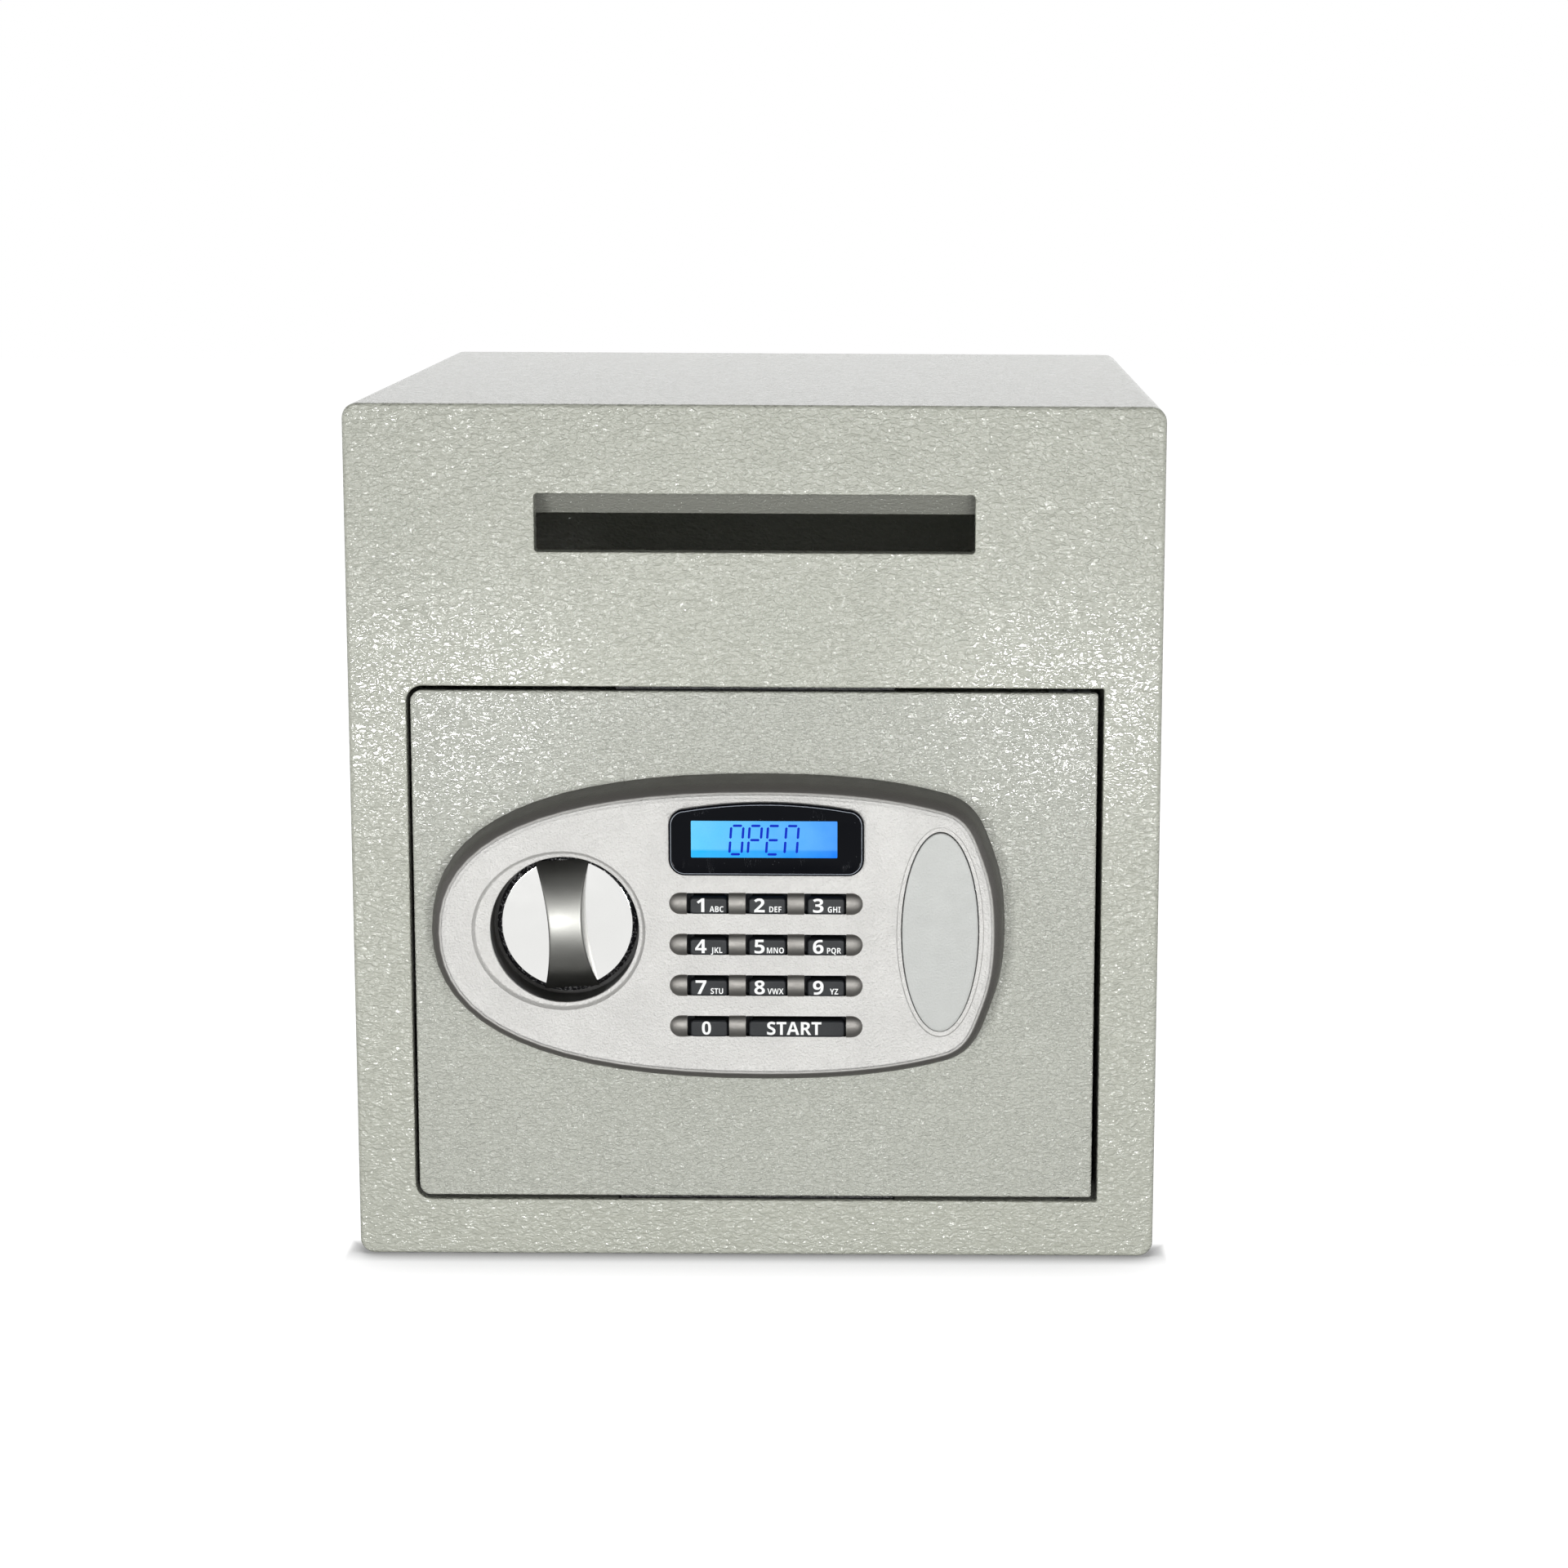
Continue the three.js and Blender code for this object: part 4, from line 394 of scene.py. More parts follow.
@dataclass(frozen=True)
class Surface:
    """A finish of one mottled colour with its own gloss and grain.

    Attributes:
        name: The material's name.
        colour: The colour as it looks on a screen, 0 to 255.
        mottle: The share by which its darkest clouds are darker.
        metallic: 0 for paint and plastic, 1 for bare metal.
        roughness: The lowest and highest roughness.
        grain: The grain's marks in a metre.
        depth: The grain's depth in millimetres.
        stretch: How the grain is drawn out along each axis.
        coat: The weight of a clear coat.
        sheen: The weight of a fibre sheen.
        scuffs: How strongly fine rubbed marks show.
        shine: The specular level, 0.5 for plain paint and plastic.
        shade_colour: A colour painted in further back as shade on side walls, or None.
        shade_fade: The y at which it is wholly the painted shade colour, and the y from which it isn't any more.
    """

    name: str
    colour: Colour
    mottle: float = 0.08
    metallic: float = 0.0
    roughness: Point = (0.4, 0.52)
    grain: float = 1600.0
    depth: float = 0.03
    stretch: Three = (1, 1, 1)
    coat: float = 0.0
    sheen: float = 0.0
    scuffs: float = 0.25
    shine: float = 0.5
    shade_colour: Colour | None = None
    shade_fade: Point = (0.0, 0.0)

    def material(self) -> Material:
        """Builds the material, with clouds, rubbed marks, gloss variation, a grain and, where given, painted
        shade further back.
        """
        bench = Bench(self.name)
        base = linear(self.colour)
        dark = dimmed(base, 1 - self.mottle)
        pale = tuple(min(1.0, c * (1 + self.mottle * 0.6) + 0.01) for c in base[:3]) + (1.0,)
        fine = bench.noise(self.grain, 3, self.stretch)
        rubs = bench.levels(bench.noise(260, 5, (1, 1, 5), 0.4, 0.7), 0.6, 0.78, 0.0, self.scuffs)
        colour = bench.blend(bench.clouds(38, 4), dark, base)
        colour = bench.blend(bench.levels(fine, 0.35, 0.7, 0.0, 0.5), colour, pale)
        colour = bench.blend(rubs, colour, pale)
        # Painted shade: towards the back the colour turns to the shade colour, standing in for the shade on side
        # walls.
        if self.shade_colour:
            back, front = (FRONT_FACE + y * MM for y in self.shade_fade)
            colour = bench.blend(bench.levels(bench.axis("Y"), back, front), linear(self.shade_colour), colour)
        bench.give(Base_Color=colour, Roughness=bench.clouds(120, 4, *self.roughness),
                   Normal=bench.bump(fine, self.depth), Metallic=self.metallic, Specular_IOR_Level=self.shine,
                   Coat_Weight=self.coat, Sheen_Weight=self.sheen)
        return bench.material


@dataclass(frozen=True)
class PebbledPaint:
    """The grey-green powder coat, whose skin has shrunk into short, mostly level pebbles.

    Attributes:
        name: The material's name.
        colour: The paint's colour, 0 to 255.
        pebbles: The pebbles in a metre.
        depth: The relief's depth in millimetres.
        painted_gap_shade: The half width and the back of the black patches painted on the door stops as shade in
            the door gap, in millimetres, or None.
        glint_grain: The marks in a metre of the pattern whose highest tips are painted glints.
        glint_levels: The pattern's values between which a painted glint begins and is whole.
        glint_colour: The painted glints' colour, 0 to 255.
    """

    name: str
    colour: Colour
    pebbles: float
    depth: float
    painted_gap_shade: Point | None = None
    glint_grain: float = 1300.0
    glint_levels: Point = (0.71, 0.76)
    glint_colour: Colour = (240, 242, 236)

    def material(self) -> Material:
        """Builds the paint from pebbles under a finer skin, with a faint unevenness, painted shade in the
        pebbles' hollows and painted glints.
        """
        bench = Bench(self.name)
        pebble = bench.noise(self.pebbles, 0.8, (0.72, 1.0, 1.3), 0.9, 0.4)
        worm = bench.levels(pebble, 0.34, 0.66)
        skin = bench.noise(self.pebbles * 3.1, 2)
        base = linear(self.colour)
        colour = bench.blend(bench.clouds(7, 3), dimmed(base, 0.955), base)
        # Painted shade: the pebbles' hollows are darker.
        colour = bench.blend(bench.levels(worm, 0.0, 0.45, 0.5, 0.0), colour, dimmed(base, 0.9))
        # Painted glints: pale flecks on the highest tips of a fine pattern.
        painted_glints = bench.levels(bench.noise(self.glint_grain, 1), *self.glint_levels)
        colour = bench.blend(painted_glints, colour, linear(self.glint_colour))
        # Painted shade in the door gap: black patches on the door stops, with no coat on the frame's paint.
        if self.painted_gap_shade:
            wide, back = self.painted_gap_shade[0] * MM, FRONT_FACE + self.painted_gap_shade[1] * MM
            beside = bench.levels(bench.count("ABSOLUTE", bench.axis("X")), wide + MM, wide)
            gap_shade_mask = bench.count("MULTIPLY", beside, bench.levels(bench.axis("Y"), back + MM, back))
            colour = bench.blend(gap_shade_mask, colour, bench.blend(skin, linear((6, 6, 6)), linear((20, 20, 20))))
        relief = bench.bump(skin, self.depth * 0.12, bench.bump(worm, self.depth))
        bench.give(Base_Color=colour, Roughness=bench.levels(skin, 0.3, 0.7, 0.36, 0.46), Normal=relief,
                   Coat_Normal=relief, Coat_Weight=0.0 if self.painted_gap_shade else 0.95, Coat_Roughness=0.08)
        return bench.material


@dataclass(frozen=True)
class GlossBlack:
    """The display surround's polished black, with a few hair scratches and specks of dust."""

    name: str = "gloss_black"
    colour: Colour = (4, 6, 12)

    def material(self) -> Material:
        """Builds the material: scratches are thin bands of a drawn-out pattern, dust is sparse cells."""
        bench = Bench(self.name)
        drawn = bench.noise(60, 2, (9, 1, 0.7), 2.5)
        hairs = bench.count("MULTIPLY", bench.levels(drawn, 0.496, 0.5), bench.levels(drawn, 0.504, 0.5))
        where = bench.levels(bench.noise(90, 2), 0.55, 0.62, 0.0, 0.35)
        dust = bench.levels(bench.cells(330), 0.09, 0.04, 0.0, 0.16)
        marks = bench.count("MAXIMUM", bench.count("MULTIPLY", hairs, where), dust)
        bench.give(Base_Color=bench.blend(marks, linear(self.colour), linear((150, 155, 160))),
                   Roughness=bench.clouds(80, 4, 0.06, 0.12), Normal=bench.bump(marks, 0.01),
                   Specular_IOR_Level=0.09)
        return bench.material


@dataclass(frozen=True)
class LitDisplay:
    """The liquid-crystal display's blue light: cyan at the left, deeper at the right and along the bottom.

    Attributes:
        name: The material's name.
        left, right: The x of its two ends, in millimetres.
        strip_top: The z up to which the deeper strip runs, in millimetres.
    """

    name: str
    left: float
    right: float
    strip_top: float

    def material(self) -> Material:
        """Builds the material, which glows a little and has a fine pixel screen."""
        bench = Bench(self.name)
        across = bench.levels(bench.axis("X"), self.left * MM, self.right * MM)
        upper = bench.blend(across, linear((100, 208, 255)), linear((66, 152, 255)))
        lower = bench.blend(across, linear((20, 186, 255)), linear((10, 128, 255)))
        low = bench.levels(bench.axis("Z"), (self.strip_top + 0.5) * MM, (self.strip_top - 0.5) * MM)
        colour = bench.blend(low, upper, lower)
        uneven = bench.levels(bench.noise(70, 2), 0.35, 0.7, 0.0, 0.25)
        colour = bench.blend(uneven, colour, linear((128, 205, 255)))
        screen = bench.levels(bench.noise(2600, 1), 0.4, 0.6, 0.0, 0.06)
        colour = bench.blend(screen, colour, linear((30, 90, 200)))
        bench.give(Base_Color=bench.blend(0.7, colour, (0, 0, 0, 1)), Emission_Color=colour,
                   Emission_Strength=0.74, Specular_IOR_Level=0.12,
                   Roughness=bench.clouds(150, 3, 0.16, 0.24), Normal=bench.bump(bench.noise(1800, 1), 0.004))
        return bench.material


@dataclass(frozen=True)
class Knurl:
    """The knob's black knurled edge, whose points glint."""

    name: str = "black_knurl"
    ridges: float = 1500.0

    def material(self) -> Material:
        """Builds the material from small cells with bright worn tips."""
        bench = Bench(self.name)
        cell = bench.cells(self.ridges)
        tips = bench.levels(bench.noise(800, 2), 0.56, 0.62)
        bench.give(Base_Color=bench.blend(tips, linear((22, 22, 24)), linear((210, 210, 212))), Metallic=tips,
                   Roughness=bench.levels(cell, 0.1, 0.7, 0.2, 0.5), Normal=bench.bump(cell, 0.35))
        return bench.material


@functools.cache
def made(finish: object) -> Material:
    """Gives the material of a finish, and builds it the first time."""
    return finish.material()


BODY_PAINT = PebbledPaint("body_paint", (186, 188, 176), 500, 0.30)
DOOR_PAINT = PebbledPaint("door_paint", (188, 190, 180), 680, 0.34)
# These two paints are a darker copy of the body paint: painted shade for the slot, the door gap and the cabinet's
# inside.
SHADED_INNER_PAINT = PebbledPaint("inner_paint_shaded", (148, 149, 141), 800, 0.14)
# The frame's paint carries black patches of painted shade on its stops.
SHADED_FRAME_PAINT = PebbledPaint("frame_paint_shaded", (148, 149, 141), 800, 0.14, (60.5, 12.0))
SILVER = Surface("silver_plastic", (210, 209, 206), 0.10, 0.25, (0.44, 0.52), 1300, 0.42, scuffs=0.1)
# A darker copy of the panel's silver with painted shade further back, for the rim's side walls.
SILVER_SHADED_SIDE = Surface("silver_side_painted_shade", (198, 197, 193), 0.07, 0.25, (0.44, 0.52), 1100, 0.20, scuffs=0.1,
                      shade_colour=(92, 90, 87), shade_fade=(-18.05, -18.5))
BAR_SILVER = Surface("bar_silver", (128, 126, 122), 0.12, 0.85, (0.34, 0.44), 1500, 0.08, (6, 1, 1), scuffs=0.2)
COVER_GREY = Surface("cover_grey", (190, 192, 189), 0.04, 0.1, (0.46, 0.54), 1100, 0.18, scuffs=0.1)
# The well's black stands in for the shade deep in the knob's well: painted shade.
WELL_SHADE_BLACK = Surface("well_painted_shade", (38, 37, 35), 0.2, 0.0, (0.30, 0.42), 1200, 0.03, (1, 3, 1), scuffs=0.1,
                     shine=0.3)
KEY_RUBBER = Surface("key_rubber", (28, 31, 34), 0.15, 0.0, (0.38, 0.50), 2200, 0.05, scuffs=0.3, shine=0.3)
LEGEND_WHITE = Surface("legend_white", (244, 245, 244), 0.03, 0.0, (0.45, 0.55), 3000, 0.01, scuffs=0.0)
SEGMENT_BLUE = Surface("segment_blue", (0, 44, 196), 0.1, 0.0, (0.4, 0.5), 2000, 0.005, scuffs=0.0, shine=0.05)
# A painted highlight: the grey strip inside the display surround's rim.
RIM_HIGHLIGHT_GREY = Surface("painted_rim_highlight", (96, 102, 110), 0.1, 0.3, (0.25, 0.35), 2000, 0.005, scuffs=0.0)
SATIN_CHROME = Surface("satin_chrome", (152, 152, 148), 0.04, 1.0, (0.36, 0.40), 900, 0.012, (1, 1, 9),
                       scuffs=0.05)
BRIGHT_CHROME = Surface("bright_chrome", (232, 232, 230), 0.03, 1.0, (0.04, 0.07), 1500, 0.004, (1, 1, 6),
                        scuffs=0.2)
ZINC = Surface("zinc_sheet", (176, 181, 184), 0.12, 0.85, (0.30, 0.46), 500, 0.02, (1, 3, 1), scuffs=0.4)
BLACK_STEEL = Surface("black_steel", (34, 34, 36), 0.15, 0.6, (0.40, 0.52), 900, 0.02, (1, 1, 6), shine=0.2)
STEEL = Surface("machined_steel", (150, 152, 155), 0.12, 1.0, (0.24, 0.38), 900, 0.02, (1, 8, 1), scuffs=0.4)
BRASS = Surface("turned_brass", (201, 172, 98), 0.14, 1.0, (0.22, 0.36), 1100, 0.02, (1, 9, 1), scuffs=0.35)
DARK_PLASTIC = Surface("dark_plastic", (44, 44, 46), 0.15, 0.0, (0.42, 0.56), 1700, 0.05)
BOARD_GREEN = Surface("board_green", (28, 100, 58), 0.22, 0.0, (0.30, 0.42), 420, 0.03, (1, 1, 3), coat=0.3)
BOARD_BLACK = Surface("board_black", (16, 18, 17), 0.2, 0.0, (0.30, 0.42), 420, 0.03, (1, 1, 3), coat=0.2)
RED_PLASTIC = Surface("red_plastic", (184, 38, 32), 0.12, 0.0, (0.25, 0.36), 1500, 0.02)
FELT = Surface("mat_felt", (58, 58, 63), 0.35, 0.0, (0.85, 0.95), 900, 0.4, (1, 2, 1), sheen=0.5, scuffs=0.1)
CELL_WRAP = Surface("battery_sleeve", (90, 105, 112), 0.1, 0.1, (0.22, 0.32), 700, 0.01, (1, 1, 8), coat=0.4)
LEAD_RED = Surface("lead_red", (150, 36, 30), 0.12, 0.0, (0.38, 0.46), 1300, 0.02)


@dataclass
class Cabinet:
    """The painted steel body: one shell with the door opening, the letter slot and the anchor holes."""

    sides: Four = (-175.0, 175.0, 0.0, 375.0)
    corners: Four = (6.5, 6.5, 6.5, 6.5)
    depth: float = 360.0
    front_round: float = 1.8
    back_round: float = 1.0
    wall: float = 2.0
    plate: float = 3.0
    opening: Four = (-150.0, 150.0, 25.0, 254.0)
    opening_corners: Four = (7.0, 0.8, 0.8, 7.0)
    opening_round: float = 0.8
    slot: Four = (-94.0, 94.0, 312.0, 337.0)
    slot_corners: Four = (1.5, 1.5, 1.5, 1.5)
    slot_round: float = 0.6
    collar_end: float = 9.0
    collar_wall: float = 2.0
    anchor_radius: float = 5.5
    base_anchors: tuple[Point, ...] = ((-100.0, 180.0), (100.0, 180.0))
    back_anchors: tuple[Point, ...] = ((-90.0, 215.0), (90.0, 215.0))

    def drill(self, bm: BMesh, places: tuple[Point, ...], levels: Point, side: Side) -> None:
        """Cuts round holes through the flat wall between two levels.

        Args:
            bm: The mesh, whose wall faces stand at the levels.
            places: The holes' middles.
            levels: The outer and inner face of the wall.
            side: The side that the wall is looked at from.
        """
        pairs = []
        for level in levels:
            value = at(0, level, 0).y if side is Side.FRONT else level * MM
            index = 1 if side is Side.FRONT else 2
            flat = [f for f in bm.faces if all(abs(v.co[index] - value) < 1e-6 for v in f.verts)]
            wall = max(flat, key=BMFace.calc_area)
            rings = [ring(bm, circle(place, self.anchor_radius, 32), level, side) for place in places]
            fill(bm, [open_face(bm, wall), *rings], FORWARD if side is Side.FRONT else DOWN)
            pairs.append(rings)
        for outer, inner in zip(*pairs):
            join_rings(bm, [outer, inner])

    def build(self) -> None:
        """Builds the shell and dresses it."""
        bm = bmesh.new()
        front = [(-inset, y) for inset, y in edge_curve(self.front_round, 5)]
        back = [(-inset, self.depth - y) for inset, y in reversed(edge_curve(self.back_round, 3))]
        outer = tube(bm, self.sides, self.corners, front + back)
        opening = tube(bm, self.opening, self.opening_corners, [*edge_curve(self.opening_round), (0, self.plate)])
        collar = [(0, self.collar_end), (self.collar_wall, self.collar_end), (self.collar_wall, self.plate)]
        slot = tube(bm, self.slot, self.slot_corners, edge_curve(self.slot_round) + collar)
        fill(bm, [outer[0], opening[0], slot[0]])
        levels = (self.plate, self.depth - self.plate)
        inner = tube(bm, self.sides, self.corners, [(-self.wall, y) for y in levels])
        fill(bm, [inner[0], opening[-1], slot[-1]], BACKWARD)
        for line in (outer[-1], inner[-1]):
            bmesh.ops.contextual_create(bm, geom=line)
        self.drill(bm, self.back_anchors, (self.depth, self.depth - self.plate), Side.FRONT)
        self.drill(bm, self.base_anchors, (0, self.wall), Side.TOP)
        piece("cabinet_shell", bm, BODY_PAINT, Body.CABINET, ("body_shell", "front_frame", "back_panel"))


@dataclass
class Door:
    """The flush steel door slab with its rounded edges and the holes for knob, key lock and lead."""

    sides: Four = (-148.3, 147.5, 27.0, 252.0)
    corners: Four = (5.0, 1.2, 1.2, 5.0)
    thickness: float = 4.0
    front_round: float = 1.0
    back_round: float = 0.4
    holes: tuple[Three, ...] = ((-81.5, 150.5, 6.5), (80.0, 150.5, 9.3), (52.0, 165.0, 6.0))

    def build(self) -> None:
        """Builds the slab and dresses it."""
        bm = bmesh.new()
        front = [(-inset, y) for inset, y in edge_curve(self.front_round)]
        back = [(-inset, self.thickness - y) for inset, y in reversed(edge_curve(self.back_round, 2))]
        rim = tube(bm, self.sides, self.corners, front + back)
        bores = [sleeve(bm, [(circle((x, z), radius, 48), y) for y in (0, self.thickness)])
                 for x, z, radius in self.holes]
        fill(bm, [rim[0], *[bore[0] for bore in bores]])
        fill(bm, [rim[-1], *[bore[1] for bore in bores]], BACKWARD)
        piece("door_slab", bm, DOOR_PAINT, Body.DOOR, ("door_plate",))


@dataclass
class KeyRow:
    """One row of the keypad: where its keys open the panel and what stands on them."""

    z: float
    openings: tuple[Point, ...]
    nodes: tuple[str, ...]
    bodies: tuple[str, ...]
    figures: tuple[str, ...]
    letters: tuple[str, ...]


THREE_KEYS = ((-28.7, -10.7), (-3.5, 14.5), (21.7, 39.7))
KEY_ROWS = (
    KeyRow(163.0, THREE_KEYS, ("key_1", "key_2", "key_3"), ("key_one", "key_two", "key_three"),
           ("1", "2", "3"), ("ABC", "DEF", "GHI")),
    KeyRow(144.95, THREE_KEYS, ("key_4", "key_5", "key_6"), ("key_four", "key_five", "key_six"),
           ("4", "5", "6"), ("JKL", "MNO", "PQR")),
    KeyRow(126.9, THREE_KEYS, ("key_7", "key_8", "key_9"), ("key_seven", "key_eight", "key_nine"),
           ("7", "8", "9"), ("STU", "VWX", "YZ")),
    KeyRow(108.85, ((-28.7, -10.7), (-3.5, 39.7)), ("key_0", "start_key"), ("key_zero", "key_start"),
           ("0", "START"), ("", "")),
)
KEY_HALF_HEIGHT = 4.55


@dataclass
class Panel:
    """The raised egg-shaped control panel with its sunk ledge, knob well, oval recess and key openings."""

    middle_z: float = 149.6
    half_height: float = 66.9
    left: float = -140.3
    right: float = 108.2
    face: float = -18.0
    profile: tuple[Point, ...] = ((0, 0), (0.8, -7.5), (1.35, -12.6), (2.1, -14.9), (3.1, -16.7), (4.4, -17.9),
                                  (5.8, -18.5), (6.8, -18.45), (7.6, -18.15), (8.2, -18.0))
    rim_steps: int = 6
    wall: float = 1.8
    knob: Point = (-81.5, 150.5)
    well_radius: float = 32.0
    ledge_radius: float = 34.8
    ledge_left: float = 39.6
    ledge_depth: float = 2.2
    well_floor: float = 25.0
    well_start: float = 1.2
    well_bottom: Point = (-0.5, -0.35)
    well_points: int = 96
    cover: Point = (80.0, 150.5)
    recess: Point = (18.75, 46.1)
    cover_hole: Point = (16.75, 44.0)
    recess_depth: float = 1.0
    bar_left: float = -36.3
    bar_right: float = 46.8
    bar_half_height: float = 4.75
    bar_rise: float = 2.0

    def outline(self) -> Outline:
        """Draws the egg: four curves for its upper half, and the same below."""
        top = self.half_height
        right = self.right
        curves = (
            ((self.left, 0), (self.left, 46), (-89, top), (2, top)),
            ((2, top), (30, top), (right - 51.3, top - 1.5), (right - 26.2, top - 8.3)),
            ((right - 26.2, top - 8.3), (right - 16.5, top - 10.9), (right - 11.6, top - 16.6),
             (right - 8, top - 25.9)),
            ((right - 8, top - 25.9), (right - 3, top - 38.9), (right, 20), (right, 0)),
        )
        upper: Outline = []
        for curve in curves:
            knots = [Vector((x, 0, z)) for x, z in curve]
            points = interpolate_bezier(*knots, 17)
            upper += [(p.x, p.z) for p in points[:-1]]
        upper.append((right, 0.0))
        lower = [(x, -z) for x, z in reversed(upper[1:-1])]
        return [(x, z + self.middle_z) for x, z in upper + lower]

    def ledge(self, inset: float) -> Outline:
        """Draws the ledge's outline, a circle that is drawn out to the left, inset by a distance."""
        points = []
        for i in range(self.well_points):
            turn = math.tau * i / self.well_points
            wide = self.ledge_left if math.cos(turn) < 0 else self.ledge_radius
            points.append((self.knob[0] + (wide - inset) * math.cos(turn),
                           self.knob[1] + (self.ledge_radius - inset) * math.sin(turn)))
        return points

    def skin(self, bezel: Outline) -> None:
        """Builds the panel's moulded skin, with a hole of the given outline under the display's surround."""
        bm = bmesh.new()
        face = raised(bm, self.outline(), list(self.profile))
        rim = bm.copy()
        last = self.rim_steps * len(face.verts)
        for part, keeps_rim in ((bm, False), (rim, True)):
            away = [f for i, f in enumerate(part.faces) if (1 <= i <= last) is not keeps_rim]
            bmesh.ops.delete(part, geom=away, context="FACES")
        # The rim's side walls wear the silver with painted shade further back.
        thicken(piece("panel_rim", rim, SILVER_SHADED_SIDE, Body.DOOR), self.wall)
        holes = [self.sunk_ledge(bm), self.sunk_recess(bm), ring(bm, bezel, self.face)]
        for row in KEY_ROWS:
            for x0, x1 in row.openings:
                opening = rounded(x0, x1, row.z - KEY_HALF_HEIGHT, row.z + KEY_HALF_HEIGHT, (0.4,) * 4, 2)
                holes.append(sleeve(bm, [(opening, y) for y in (self.face, self.face + 0.8)])[0])
        fill(bm, [open_face(bm, face), *holes])
        thicken(piece("panel_skin", bm, SILVER, Body.DOOR, ("fascia",), 32), self.wall)

    def sunk_ledge(self, bm: BMesh) -> list[BMEdge]:
        """Builds the ledge with the well's upper edge, and gives the ring in the panel's face."""
        face, floor, well = self.face, self.face + self.ledge_depth, self.well_radius
        slope = ((-0.5, face), (-0.12, face + 0.12), (0.1, face + 0.5), (0.85, floor - 0.45), (1.2, floor - 0.1),
                 (1.6, floor))
        edge = ((0.55, floor), (0.15, floor + 0.15), (0, floor + 0.55), (0, floor + self.well_start))
        ledge = sleeve(bm, [(self.ledge(inset), y) for inset, y in slope])
        drop = sleeve(bm, [(circle(self.knob, well + grow, self.well_points), y) for grow, y in edge])
        fill(bm, [ledge[-1], drop[0]])
        return ledge[0]

    def sunk_recess(self, bm: BMesh) -> list[BMEdge]:
        """Builds the oval recess with the hole under the cover, and gives the ring in the panel's face."""
        base = self.face + self.recess_depth
        slope = ((-0.25, self.face), (0.0, self.face + 0.12), (0.2, base - 0.15), (0.45, base))
        edge = ((0.2, base), (0, base + 0.2), (0, base + 1.2))
        (wide, high), (hole_wide, hole_high) = self.recess, self.cover_hole
        recess = sleeve(bm, [(oval(*self.cover, wide - inset, high - inset, 96), y) for inset, y in slope])
        hole = sleeve(bm, [(oval(*self.cover, hole_wide + grow, hole_high + grow, 96), y) for grow, y in edge])
        fill(bm, [recess[-1], hole[0]])
        return recess[0]

    def well(self) -> None:
        """Builds the black cup round the knob, with its floor behind the knob's edge; its black is painted shade
        in the well.
        """
        bm = bmesh.new()
        top = self.face + self.ledge_depth + self.well_start
        inner, outer, hole = self.well_radius, self.well_radius + self.wall, self.well_floor
        front, back = self.well_bottom
        rings: list[list[BMEdge]] = []
        for radius, start, end in ((inner, top, front), (hole, front, back), (outer, back, top)):
            rings += sleeve(bm, [(circle(self.knob, radius, self.well_points), y) for y in (start, end)])
        for first, second, facing in ((1, 2, FORWARD), (3, 4, BACKWARD), (5, 0, FORWARD)):
            fill(bm, [rings[first], rings[second]], facing)
        piece("knob_well", bm, WELL_SHADE_BLACK, Body.DOOR)

    def bars(self) -> None:
        """Builds the half-round bars between the keys, row by row, from a capsule that the keys cut through."""
        bm = bmesh.new()
        for row in KEY_ROWS:
            self.bar(bm, row)
        piece("key_bars", bm, BAR_SILVER, Body.DOOR)

    def bar(self, bm: BMesh, row: KeyRow) -> None:
        """Adds one row's bar pieces to a mesh."""
        radius = self.bar_half_height
        capsule = bmesh.new()
        turns = quarter(8)
        left = [(self.bar_left + radius * (1 - math.cos(t)), radius * math.sin(t)) for t in turns]
        right = [(self.bar_right - radius * (1 - math.cos(t)), radius * math.sin(t)) for t in reversed(turns)]
        verts = [capsule.verts.new((x * MM, 0, r * MM)) for x, r in left + right]
        edges = [capsule.edges.new(pair) for pair in zip(verts, verts[1:])]
        bmesh.ops.spin(capsule, geom=verts + edges, cent=(0, 0, 0), axis=(1, 0, 0), angle=math.tau, steps=40,
                       use_merge=True)
        bmesh.ops.remove_doubles(capsule, verts=capsule.verts, dist=1e-6)
        bmesh.ops.scale(capsule, vec=(1, self.bar_rise / radius, 1), verts=capsule.verts)
        for x0, x1 in row.openings:
            for x in (x0, x1):
                bmesh.ops.bisect_plane(capsule, geom=capsule.verts[:] + capsule.edges[:] + capsule.faces[:],
                                       dist=1e-7, plane_co=(x * MM, 0, 0), plane_no=(1, 0, 0))
            inside = [f for f in capsule.faces if x0 < f.calc_center_median().x / MM < x1]
            bmesh.ops.delete(capsule, geom=inside, context="FACES")
        bmesh.ops.holes_fill(capsule, edges=[e for e in capsule.edges if e.is_boundary], sides=0)
        bmesh.ops.translate(capsule, vec=at(0, self.face, row.z), verts=capsule.verts)
        pour(bm, meshed("part", capsule))

    def build(self, bezel: Outline) -> None:
        """Builds the skin, the well and the bars."""
        self.skin(bezel)
        self.well()
        self.bars()


@dataclass(frozen=True)
class Print:
    """How one kind of word is printed on a key.

    Attributes:
        height: The capitals' height in millimetres.
        aside, up: How far its middle lies from the place that it is set out from.
        wide: How wide it is drawn, where 1 is the face's own width.
    """

    height: float
    aside: float
    up: float
    wide: float


